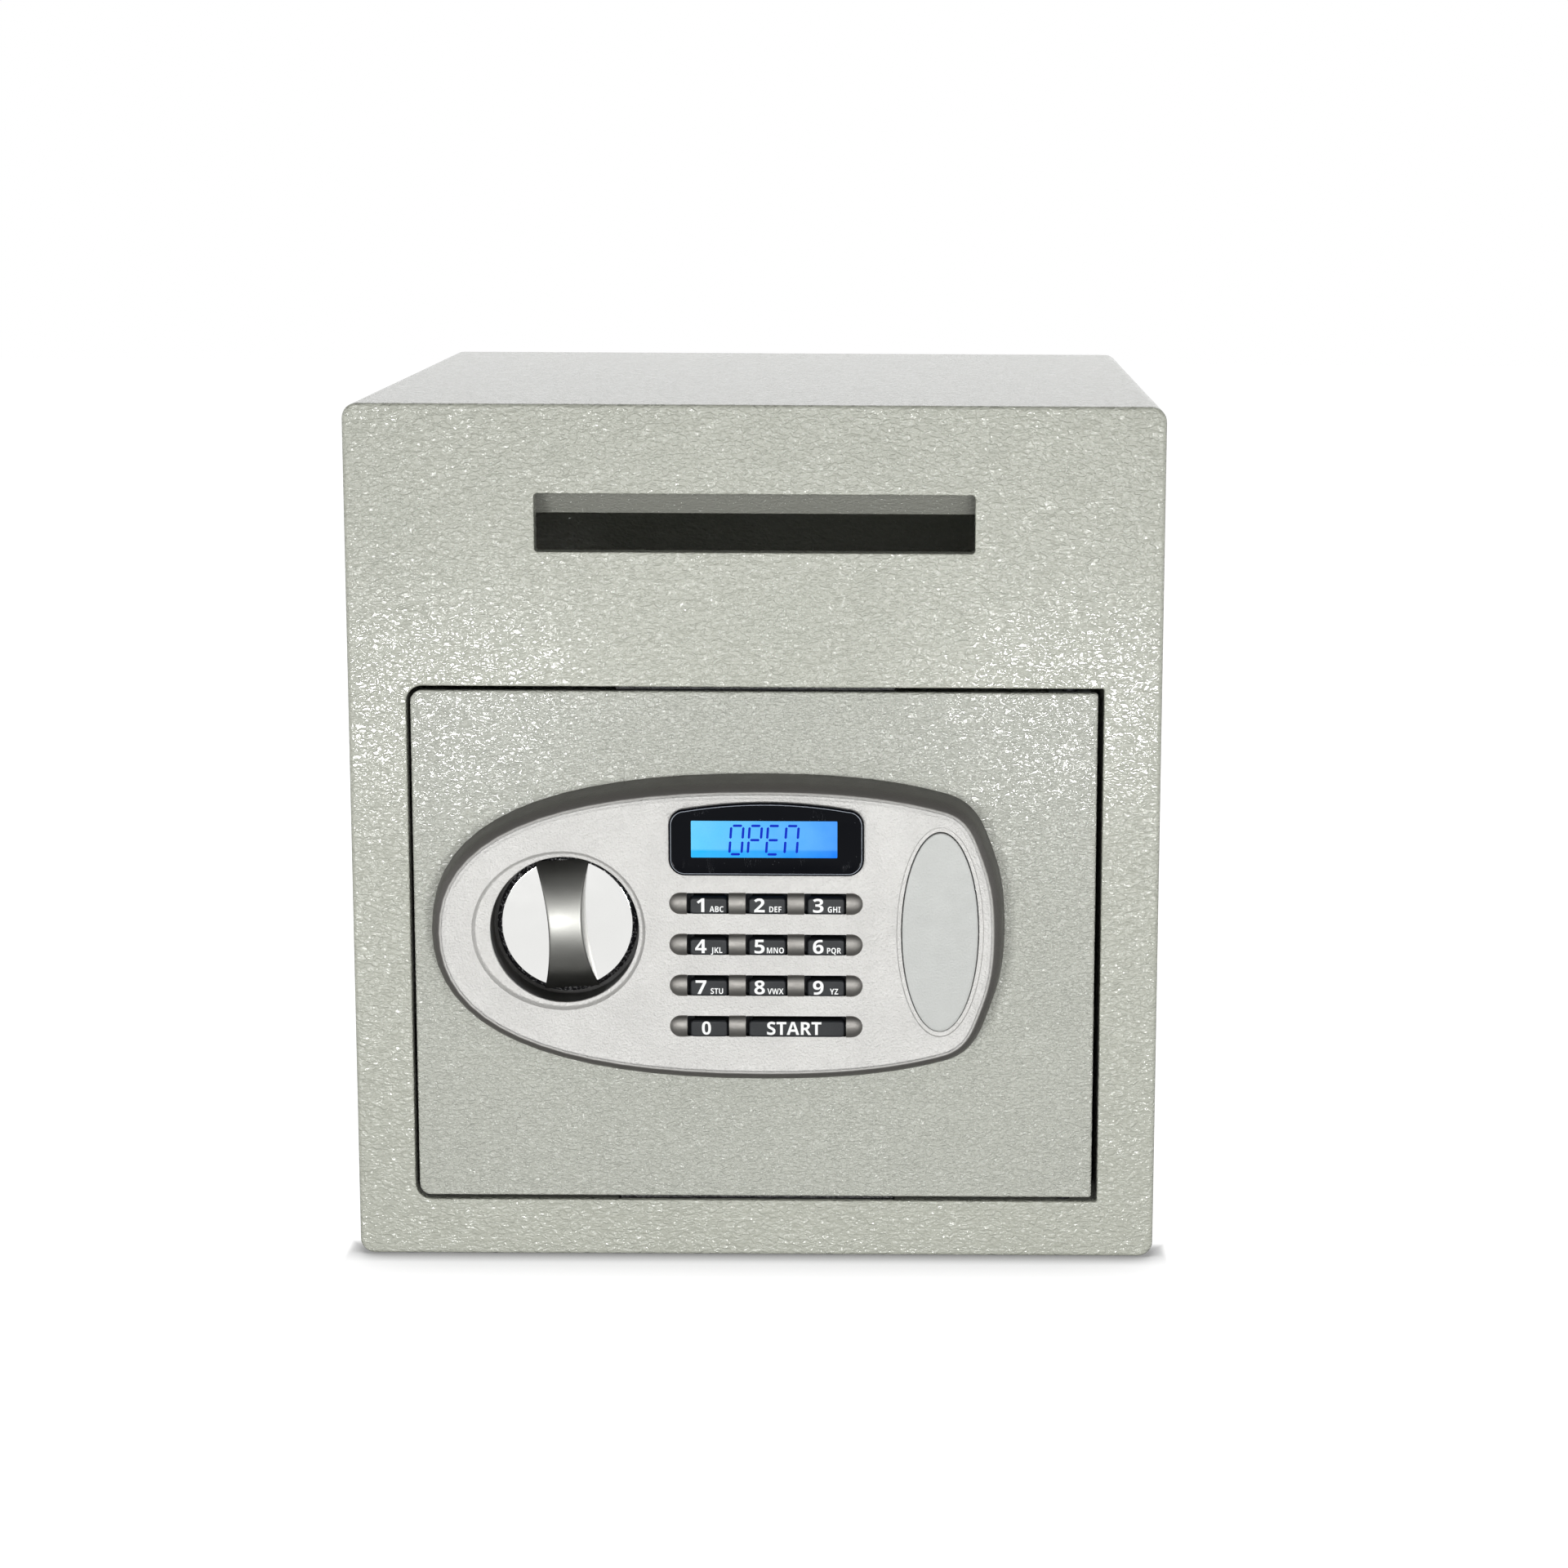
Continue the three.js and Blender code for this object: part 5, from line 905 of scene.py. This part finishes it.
@dataclass
class Lettering:
    """Flat printed words as thin meshes, drawn in a bold face that comes with the program."""

    font_file: str = "NotoSansMath-Regular.woff2"
    bold_figures: int = 0x1D7EC
    bold_capitals: int = 0x1D5D4
    capital: float = 0.4795
    thickness: float = 0.008

    def bold(self, sign: str) -> str:
        """Gives the bold sign for a figure or a capital."""
        start, first = (self.bold_figures, "0") if sign.isdigit() else (self.bold_capitals, "A")
        return chr(start + ord(sign) - ord(first))

    def word(self, bm: BMesh, text: str, style: Print, x: float, z: float, level: float) -> None:
        """Adds one word to a mesh.

        Args:
            bm: The mesh.
            text: The word.
            style: How it is printed.
            x, z: The place that the style counts from.
            level: The y that it is printed on.
        """
        folder = bpy.utils.system_resource("DATAFILES", path="fonts")
        curve = bpy.data.curves.new("word", "FONT")
        curve.font = bpy.data.fonts.load(os.path.join(folder, self.font_file), check_existing=True)
        curve.body = "".join(self.bold(sign) for sign in text)
        curve.size = 1.0
        curve.resolution_u = 4
        curve.extrude = self.thickness
        holder = placed("word", curve)
        bpy.context.view_layer.update()
        mesh = bpy.data.meshes.new_from_object(holder.evaluated_get(bpy.context.evaluated_depsgraph_get()))
        bpy.data.objects.remove(holder)
        across = [v.co.x for v in mesh.vertices]
        middle = Vector(((max(across) + min(across)) / 2, self.capital / 2, 0))
        scale = style.height / self.capital * MM
        turn = Matrix.Translation(at(x + style.aside, level, z + style.up)) @ Matrix.Rotation(math.pi / 2, 4, "X")
        grow = Matrix.Diagonal((scale * style.wide, scale, scale, 1))
        mesh.transform(turn @ grow @ Matrix.Translation(-middle))
        pour(bm, mesh)


@dataclass
class Keypad:
    """The eleven rubber keys and the white figures on them."""

    lettering: Lettering = field(default_factory=Lettering)
    left_gap: float = 1.3
    right_gap: float = 0.6
    top_gap: float = 1.75
    bottom_gap: float = 0.15
    corner: float = 1.6
    face: float = -19.6
    root: float = -15.4
    edge_round: float = 0.8
    edge_foot: Point = (1.3, 0.04)
    print_rise: float = 0.02
    figure: Print = Print(6.0, 4.7, 0.4, 1.08)
    letters: Print = Print(2.5, -4.6, 2.3, 0.87)
    lone: Print = Print(5.7, -1.1, 0.35, 0.98)

    def build(self) -> None:
        """Builds every key with its figure and letters."""
        for row in KEY_ROWS:
            for i, opening in enumerate(row.openings):
                self.key(row, i, opening)

    def key(self, row: KeyRow, i: int, opening: Point) -> None:
        """Builds one key.

        Args:
            row: The key's row.
            i: Its place in the row.
            opening: The left and right side of its opening.
        """
        x0, x1 = opening[0] + self.left_gap, opening[1] - self.right_gap
        z0, z1 = row.z - KEY_HALF_HEIGHT + self.bottom_gap, row.z + KEY_HALF_HEIGHT - self.top_gap
        bm = bmesh.new()
        outline = rounded(x0, x1, z0, z1, (self.corner,) * 4, 6)
        edge = [(inset, self.face + y) for inset, y in [*reversed(edge_curve(self.edge_round)), self.edge_foot]]
        raised(bm, outline, [(0, self.root), *edge], close_back=True)
        piece(f"{row.nodes[i]}_cap", bm, KEY_RUBBER, row.bodies[i], (row.nodes[i],))
        words = bmesh.new()
        middle = (z0 + z1) / 2
        level = self.face - self.print_rise
        figure, letters = row.figures[i], row.letters[i]
        if letters:
            self.lettering.word(words, figure, self.figure, x0, middle, level)
            self.lettering.word(words, letters, self.letters, x1, z0, level)
        else:
            self.lettering.word(words, figure, self.lone, (x0 + x1) / 2, middle, level)
        piece(f"{row.nodes[i]}_print", words, LEGEND_WHITE, row.bodies[i], flat=True)


@dataclass
class Display:
    """The gloss black surround and the lit display in its window."""

    left: float = -36.3
    right: float = 47.3
    bottom: float = 175.5
    top: float = 204.5
    corner: float = 7.0
    wall: float = 1.2
    hole_inset: float = 2.2
    profile: tuple[Point, ...] = ((0, -18.0), (0, -19.5), (0.12, -19.95), (0.4, -20.25), (0.8, -20.38),
                                  (1.2, -20.3), (1.6, -20.05))
    arch: float = 3.0
    arch_steps: int = 16
    highlight_insets: Point = (0.85, 1.15)
    highlight_level: float = -20.4
    window: Four = (-26.65, 35.85, 183.5, 199.5)
    glass: float = -19.9
    strip_top: float = 186.8
    word: str = "OPEN"
    first_x: float = -10.3
    pitch: float = 7.85
    letter_width: float = 5.2
    low: float = 185.0
    high: float = 197.4
    stroke: float = 1.05
    lean: float = 0.075
    print_rises: Point = (0.01, 0.03)

    def outline(self, inset: float = 0.0) -> Outline:
        """Draws the surround, a rounded rectangle with an arched top, inset by a distance."""
        x0, x1 = self.left + inset, self.right - inset
        z0, z1 = self.bottom + inset, self.top - inset
        steps = 8
        base = rounded(x0, x1, z0, z1, (self.corner - inset,) * 4, steps)
        split = 3 * (steps + 1)
        start, end = Vector((base[split - 1][0], z1)), Vector((base[split][0], z1))
        pull = Vector(((x0 + x1) / 2, z1 + 2 * self.arch))
        shares = [i / self.arch_steps for i in range(1, self.arch_steps)]
        places = [start * (1 - t) ** 2 + pull * 2 * t * (1 - t) + end * t ** 2 for t in shares]
        return base[:split] + [(p.x, p.y) for p in places] + base[split:]

    def surround(self) -> None:
        """Builds the surround with its rounded rim and window."""
        bm = bmesh.new()
        face = raised(bm, self.outline(), list(self.profile))
        levels = (self.profile[-1][1], self.glass + 0.3)
        window = sleeve(bm, [(rounded(*self.window, (0.4,) * 4, 3), y) for y in levels])
        fill(bm, [open_face(bm, face), window[0]])
        obj = piece("display_surround", bm, GlossBlack(), Body.DOOR, ("display_bezel",))
        thicken(obj, self.wall)

    def line(self) -> None:
        """Builds the fine bright line inside the surround's rim: a painted highlight, a pale strip standing in
        for the light that the rim's rounding catches.
        """
        bm = bmesh.new()
        # A pale strip painted where the rim's rounding would catch a highlight.
        fill(bm, [ring(bm, self.outline(inset), self.highlight_level) for inset in self.highlight_insets])
        piece("display_rim_highlight", bm, RIM_HIGHLIGHT_GREY, Body.DOOR, flat=True)

    def light(self) -> None:
        """Builds the lit glass in the window."""
        x0, x1, z0, z1 = self.window
        bm = bmesh.new()
        raised(bm, rounded(x0 - 0.5, x1 + 0.5, z0 - 0.5, z1 + 0.5, (0.5,) * 4, 2),
               [(0, self.glass + 1.2), (0, self.glass + 0.1), (0.1, self.glass)], close_back=True)
        glow = LitDisplay("lit_display", x0, x1, self.strip_top)
        piece("display_glass", bm, glow, Body.DOOR)

    def segment(self, bm: BMesh, start: Point, end: Point) -> None:
        """Adds one segment of a letter, a bar with pointed ends that leans with the letter."""
        a, b = Vector(start), Vector(end)
        along = (b - a).normalized()
        across = Vector((-along.y, along.x)) * self.stroke / 2
        tip = along * self.stroke * 0.4
        points = [a, a + tip + across, b - tip + across, b, b - tip - across, a + tip - across]
        leaning = [(p.x + (p.y - self.low) * self.lean, p.y) for p in points]
        raised(bm, leaning, [(0, self.glass - rise) for rise in self.print_rises])

    def letters(self) -> None:
        """Builds the word on the display from seven-segment letters."""
        bm = bmesh.new()
        shapes = {"O": "abcdef", "P": "abefg", "E": "adefg", "N": "abcef"}
        half = (self.low + self.high) / 2
        gap = self.stroke * 0.5
        for i, letter in enumerate(self.word):
            x0 = self.first_x + i * self.pitch
            x1 = x0 + self.letter_width
            left, right = x0 + gap, x1 - gap
            bars = {
                "a": ((left, self.high), (right, self.high)), "b": ((x1, self.high - gap), (x1, half + gap)),
                "c": ((x1, half - gap), (x1, self.low + gap)), "d": ((left, self.low), (right, self.low)),
                "e": ((x0, half - gap), (x0, self.low + gap)), "f": ((x0, self.high - gap), (x0, half + gap)),
                "g": ((left, half), (right, half)),
            }
            for key in shapes[letter]:
                self.segment(bm, *bars[key])
        piece("display_word", bm, SEGMENT_BLUE, Body.DOOR, flat=True)

    def build(self) -> None:
        """Builds the surround, its painted rim highlight, the lit glass and the word."""
        self.surround()
        self.line()
        self.light()
        self.letters()


@dataclass
class LockCover:
    """The oval cover over the key lock."""

    middle: Point = (80.0, 150.5)
    half: Point = (16.35, 43.6)
    back: float = -16.1
    face: float = -18.3

    def build(self) -> None:
        """Builds the cover with a rounded edge and a crown of a fraction of a millimetre."""
        bm = bmesh.new()
        profile = [(0, self.back), (0, self.face + 0.5), (0.1, self.face + 0.2), (0.4, self.face + 0.02),
                   (1.2, self.face), (3.0, self.face - 0.03)]
        raised(bm, oval(*self.middle, *self.half, 96), profile, close_back=True)
        piece("lock_cover", bm, COVER_GREY, Body.COVER, ("oval_cover",))


@dataclass
class TurnKnob:
    """The turn knob: a polished disc with an arched grip across it and a knurled edge.

    Attributes:
        top_share, edge_share: Where the grip's top ends and its side begins, with its foot at 1.
        crown, crown_rise: How far the top is crowned, and the height from which it is fully so.
        foot: How far the side runs on into the disc.
    """

    middle: Point = (-81.5, 150.5)
    tilt: float = -3.85
    disc_radius: float = 28.4
    disc_face: float = -3.2
    knurl_radius: float = 30.3
    knurl_back: float = -1.4
    back: float = -0.6
    grip_end: float = 12.0
    grip_pull: float = 2.6
    arch_radius: float = 43.66
    crest: float = -13.7
    edge: float = 0.9
    top_share: float = 0.6
    edge_share: float = 0.85
    crown: float = 0.25
    crown_rise: float = 3.0
    foot: float = 0.1

    def turned(self, bm: BMesh) -> None:
        """Turns a mesh drawn upright about the knob's middle to the angle that it rests at."""
        middle = at(self.middle[0], 0, self.middle[1])
        bmesh.ops.rotate(bm, cent=middle, matrix=Matrix.Rotation(math.radians(self.tilt), 3, "Y"), verts=bm.verts)

    def disc(self) -> None:
        """Builds the polished disc."""
        bm = bmesh.new()
        face = self.disc_face
        profile = [(0, self.back), (0, face + 0.25), (0.08, face + 0.08), (0.3, face)]
        raised(bm, circle(self.middle, self.disc_radius, 96), profile, close_back=True)
        self.turned(bm)
        piece("knob_disc", bm, BRIGHT_CHROME, Body.KNOB, ("knob",))

    def knurl(self) -> None:
        """Builds the sloped knurled ring round the disc."""
        bm = bmesh.new()
        radii = ((self.disc_radius - 0.4, self.back), (self.knurl_radius, self.back),
                 (self.knurl_radius, self.knurl_back), (self.disc_radius + 0.1, self.disc_face + 0.15),
                 (self.disc_radius - 0.4, self.disc_face + 0.4))
        rings = sleeve(bm, [(circle(self.middle, radius, 144), y) for radius, y in radii])
        join_rings(bm, [rings[-1], rings[0]])
        self.turned(bm)
        piece("knob_knurl", bm, Knurl(), Body.KNOB, crease=30)

    def grip(self) -> None:
        """Builds the grip: a sheet folded over the hourglass, arched from end to end."""
        bm = bmesh.new()
        bmesh.ops.create_grid(bm, x_segments=28, y_segments=72, size=1.0)
        length = self.disc_radius - 0.15
        for vert in bm.verts:
            across, along = vert.co.x, vert.co.y
            t = (along + 1) / 2
            width = self.grip_end * ((1 - t) ** 2 + t ** 2) + 2 * self.grip_pull * t * (1 - t)
            z = along * length
            top = self.crest + self.arch_radius - math.sqrt(self.arch_radius ** 2 - z * z)
            rise = max(self.disc_face - top, 0.0)
            x, fall = self.section(abs(across), width, rise)
            vert.co = at(self.middle[0] + math.copysign(x, across), top + fall, self.middle[1] + z)
        self.turned(bm)
        bmesh.ops.holes_fill(bm, edges=[e for e in bm.edges if e.is_boundary], sides=0)
        piece("knob_grip", bm, SATIN_CHROME, Body.KNOB, crease=50)

    def section(self, across: float, width: float, rise: float) -> Point:
        """Gives a place on half the grip's cross-section.

        Args:
            across: 0 at the middle of the grip and 1 at the foot of its side.
            width: The grip's half width there.
            rise: Its height over the disc.

        Returns:
            How far it lies from the middle, and how far below the crest.
        """
        edge = min(self.edge, rise)
        fall = self.crown * min(1.0, rise / self.crown_rise)
        if across <= self.top_share:
            share = across / self.top_share
            return share * (width - edge), share * share * fall
        if across <= self.edge_share:
            turn = (across - self.top_share) / (self.edge_share - self.top_share) * math.pi / 2
            return width - edge * (1 - math.sin(turn)), fall + (edge - fall) * (1 - math.cos(turn))
        return width, edge + (rise + self.foot - edge) * (across - self.edge_share) / (1 - self.edge_share)

    def build(self) -> None:
        """Builds the disc, the knurled ring and the grip."""
        self.disc()
        self.knurl()
        self.grip()


@dataclass
class InnerWorks:
    """The carried-over pieces behind the door and in the cabinet, each with its own finish."""

    shown: dict[str, Object]

    def plan(self) -> dict[object, tuple[str, ...]]:
        """Says which finish each carried-over node wears."""
        return {
            SHADED_INNER_PAINT: ("upper_slot_baffle", "lower_slot_baffle", "door_box", "door_back_cover"),
            SHADED_FRAME_PAINT: ("door_frame",),
            BLACK_STEEL: ("upper_hinge_pin", "lower_hinge_pin"),
            ZINC: ("bolt_carriage", "solenoid_body", "upper_hinge_block", "lower_hinge_block"),
            STEEL: ("left_guide_stud", "right_guide_stud", "crank_arm", "cover_screw_1", "cover_screw_2",
                    "cover_screw_3", "cover_screw_4", "plunger_spring", "solenoid_plunger", "override_cam",
                    "knob_spindle"),
            SATIN_CHROME: ("upper_bolt", "lower_bolt", "override_lock_body"),
            BRASS: ("knob_bushing", "override_plug"),
            FELT: ("floor_mat",),
            DARK_PLASTIC: ("battery_holder", "battery_lid"),
            KEY_RUBBER: ("key_mat",),
            RED_PLASTIC: ("reset_button",),
            LEAD_RED: ("board_lead",),
            BOARD_GREEN: ("control_board",),
            BOARD_BLACK: ("keypad_board",),
            CELL_WRAP: ("battery_1", "battery_2", "battery_3", "battery_4"),
            LitDisplay("module_glow", -33.4, 42.6, 182.0): ("display_module",),
        }

    def dress(self) -> None:
        """Puts each finish on its nodes and reports any node that is left bare."""
        dressed = set()
        for kind, names in self.plan().items():
            material = made(kind)
            for name in names:
                slots = self.shown[name].data.materials
                for i in range(len(slots)):
                    slots[i] = material
                if not slots:
                    slots.append(material)
                dressed.add(name)
                LOG.info("%s: carried over in %s", name, kind.name)
        bare = [n for n, o in self.shown.items() if n not in dressed and not o.hide_render]
        if bare:
            LOG.warning("no finish for %s", ", ".join(sorted(bare)))


@dataclass
class Studio:
    """The white floor, the soft light and the camera, in metres.

    Attributes:
        floor_greys, grey_fade: How light the floor is round the safe and ahead of it, and the y between the two.
        contact_shades: The painted contact shadow's reaches, each with the share of light that is left in it.
        shade_sides, shade_front: The x and y past which that shadow has faded.
        mirror_foot_shade, far_glow: The y between which the floor's light in mirrors changes, and its shares
            there; the low share by the safe's foot is painted shade in reflections.
    """

    camera_place: Three = (0.0651, -1.6378, 0.4855)
    camera_turns: Three = (-0.137, 79.982, 0.31)
    lens: float = 78.92
    shift: Point = (-0.0832, -0.023)
    floor_level: float = -0.0003
    floor_greys: Point = (0.26, 0.02)
    grey_fade: Point = (-0.5, -0.75)
    contact_shades: tuple[Point, ...] = ((0.05, 0.62), (0.012, 0.36))
    shade_sides: Point = (0.172, 0.182)
    shade_front: Point = (-0.178, -0.16)
    mirror_foot_shade: Four = (-0.42, -0.62, 0.1, 1.0)
    far_glow: Four = (-1.6, -1.1, 0.6, 1.0)
    low_power: float = 2.8
    front_power: float = 26.0
    back_power: float = 8.5
    side_power: float = 15.0
    world_fill: float = 0.21
    # The height of the dark card that only mirrors see, a painted dark reflection.
    dark_reflection_card: float = 1.6

    def camera(self) -> None:
        """Sets the camera at the photograph's angle."""
        data = bpy.data.cameras.new("camera")
        data.lens = self.lens
        data.sensor_width = 36
        data.shift_x, data.shift_y = self.shift
        camera = placed("camera", data)
        first, tip, last = (math.radians(a) for a in self.camera_turns)
        turn = Matrix.Rotation(first, 4, "Z") @ Matrix.Rotation(tip, 4, "X") @ Matrix.Rotation(last, 4, "Z")
        camera.matrix_world = Matrix.Translation(self.camera_place) @ turn
        bpy.context.scene.camera = camera

    def world(self) -> None:
        """Sets a white surrounding that lights the safe gently."""
        world = bpy.data.worlds.new("studio")
        bpy.context.scene.world = world
        wiring = Wiring(world)
        strength = wiring.levels(wiring.seen(), 0.0, 1.0, self.world_fill)
        wiring.feed(wiring.nodes["Background"], Color=(1, 1, 1, 1), Strength=strength)

    def sheet(self, name: str, middle: Three, half: Point, material: Material) -> Object:
        """Adds a level sheet of the given half sizes."""
        bm = bmesh.new()
        bmesh.ops.create_grid(bm, x_segments=4, y_segments=4, size=1.0)
        bmesh.ops.scale(bm, vec=(*half, 1.0), verts=bm.verts)
        bmesh.ops.translate(bm, vec=middle, verts=bm.verts)
        sheet = placed(name, meshed(name, bm))
        sheet.data.materials.append(material)
        return sheet

    def floor(self) -> None:
        """Lays a matt white glowing floor with a painted contact shadow, and painted shade by the safe's foot in
        mirrors.
        """
        bench = Bench("floor_white")
        along = bench.axis("Y")
        near_grey, far_grey = ((grey, grey, grey, 1) for grey in self.floor_greys)
        beside = bench.levels(bench.count("ABSOLUTE", bench.axis("X")), *self.shade_sides)
        free = bench.count("MAXIMUM", bench.levels(along, *self.shade_front), beside)
        glow = bench.seen()
        # Painted contact shadow: ambient occlusion darkens the floor's glow near the safe.
        for reach, least in self.contact_shades:
            near = bench.add("ShaderNodeAmbientOcclusion", samples=12)
            bench.feed(near, Distance=reach)
            dark = bench.levels(near.outputs["AO"], 0.5, 1.0, least)
            glow = bench.count("MULTIPLY", glow, bench.count("MAXIMUM", dark, free))
        camera = bench.add("ShaderNodeLightPath").outputs["Is Camera Ray"]
        # Painted shade in reflections: the glow that gloss sees is low by the safe's foot and dimmer far ahead.
        ahead = bench.count("MULTIPLY", bench.levels(along, *self.mirror_foot_shade), bench.levels(along, *self.far_glow))
        glow = bench.count("MULTIPLY", glow, bench.count("MAXIMUM", camera, ahead))
        bench.give(Base_Color=bench.blend(bench.levels(along, *self.grey_fade), near_grey, far_grey),
                   Roughness=bench.clouds(3, 2, 0.85, 0.95), Specular_IOR_Level=0.0,
                   Emission_Color=(1, 1, 1, 1), Emission_Strength=glow)
        floor = self.sheet("floor", (0, 0, self.floor_level), (6.0, 6.0), bench.material)

    def hang_dark_reflection_card(self) -> None:
        """Hangs a dark card over the safe that only gloss and metal see: a painted dark reflection in place of a
        ceiling.
        """
        bench = Bench("painted_dark_reflection")
        bench.give(Base_Color=(0.03, 0.03, 0.03, 1))
        card = self.sheet("dark_reflection_card", (0, -1.1, self.dark_reflection_card), (3.0, 2.3), bench.material)
        # The card is a painted dark reflection: only gloss sees it, and it neither lights nor shades anything.
        card.visible_camera = card.visible_diffuse = card.visible_shadow = False

    def lamp(self, name: str, place: Three, target: Three, size: Point, power: float) -> Object:
        """Hangs a soft rectangular lamp of a size and of a power in watts, which faces a target."""
        data = bpy.data.lights.new(name, "AREA")
        data.shape = "RECTANGLE"
        data.size, data.size_y = size
        data.energy = power
        lamp = placed(name, data)
        aim = Vector(target) - Vector(place)
        lamp.matrix_world = Matrix.Translation(place) @ aim.to_track_quat("-Z", "Y").to_matrix().to_4x4()
        return lamp

    def build(self) -> None:
        """Sets the camera, the surrounding, the floor, the dark reflection card and the lamps."""
        bpy.context.scene.view_settings.view_transform = "Standard"
        self.camera()
        self.world()
        self.floor()
        self.hang_dark_reflection_card()
        for name, x in (("low_left", -0.28), ("low_right", 0.2)):
            self.lamp(name, (x, -1.2, 0.08), (0, -0.18, 0.2), (0.18, 0.08), self.low_power)
        front = self.lamp("front_fill", (0.1, -2.6, 0.45), (0, -0.18, 0.18), (2.4, 0.8), self.front_power)
        back = self.lamp("back_top", (0, 1.1, 1.5), (0, 0, 0.375), (1.5, 0.8), self.back_power)
        front.visible_glossy = back.visible_glossy = False
        for name, x in (("side_left", -2.2), ("side_right", 2.2)):
            self.lamp(name, (x, 0.35, 0.7), (0, 0.0, 0.19), (1.2, 0.9), self.side_power).visible_glossy = False


def main() -> None:
    """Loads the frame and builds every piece."""
    logging.basicConfig(level=logging.INFO, format="%(message)s")
    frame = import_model()
    display = Display()
    Studio().build()
    Cabinet().build()
    Door().build()
    Panel().build(display.outline(display.hole_inset))
    display.build()
    Keypad().build()
    LockCover().build()
    TurnKnob().build()
    InnerWorks(frame["nodes"]).dress()


if __name__ == "__main__":
    main()
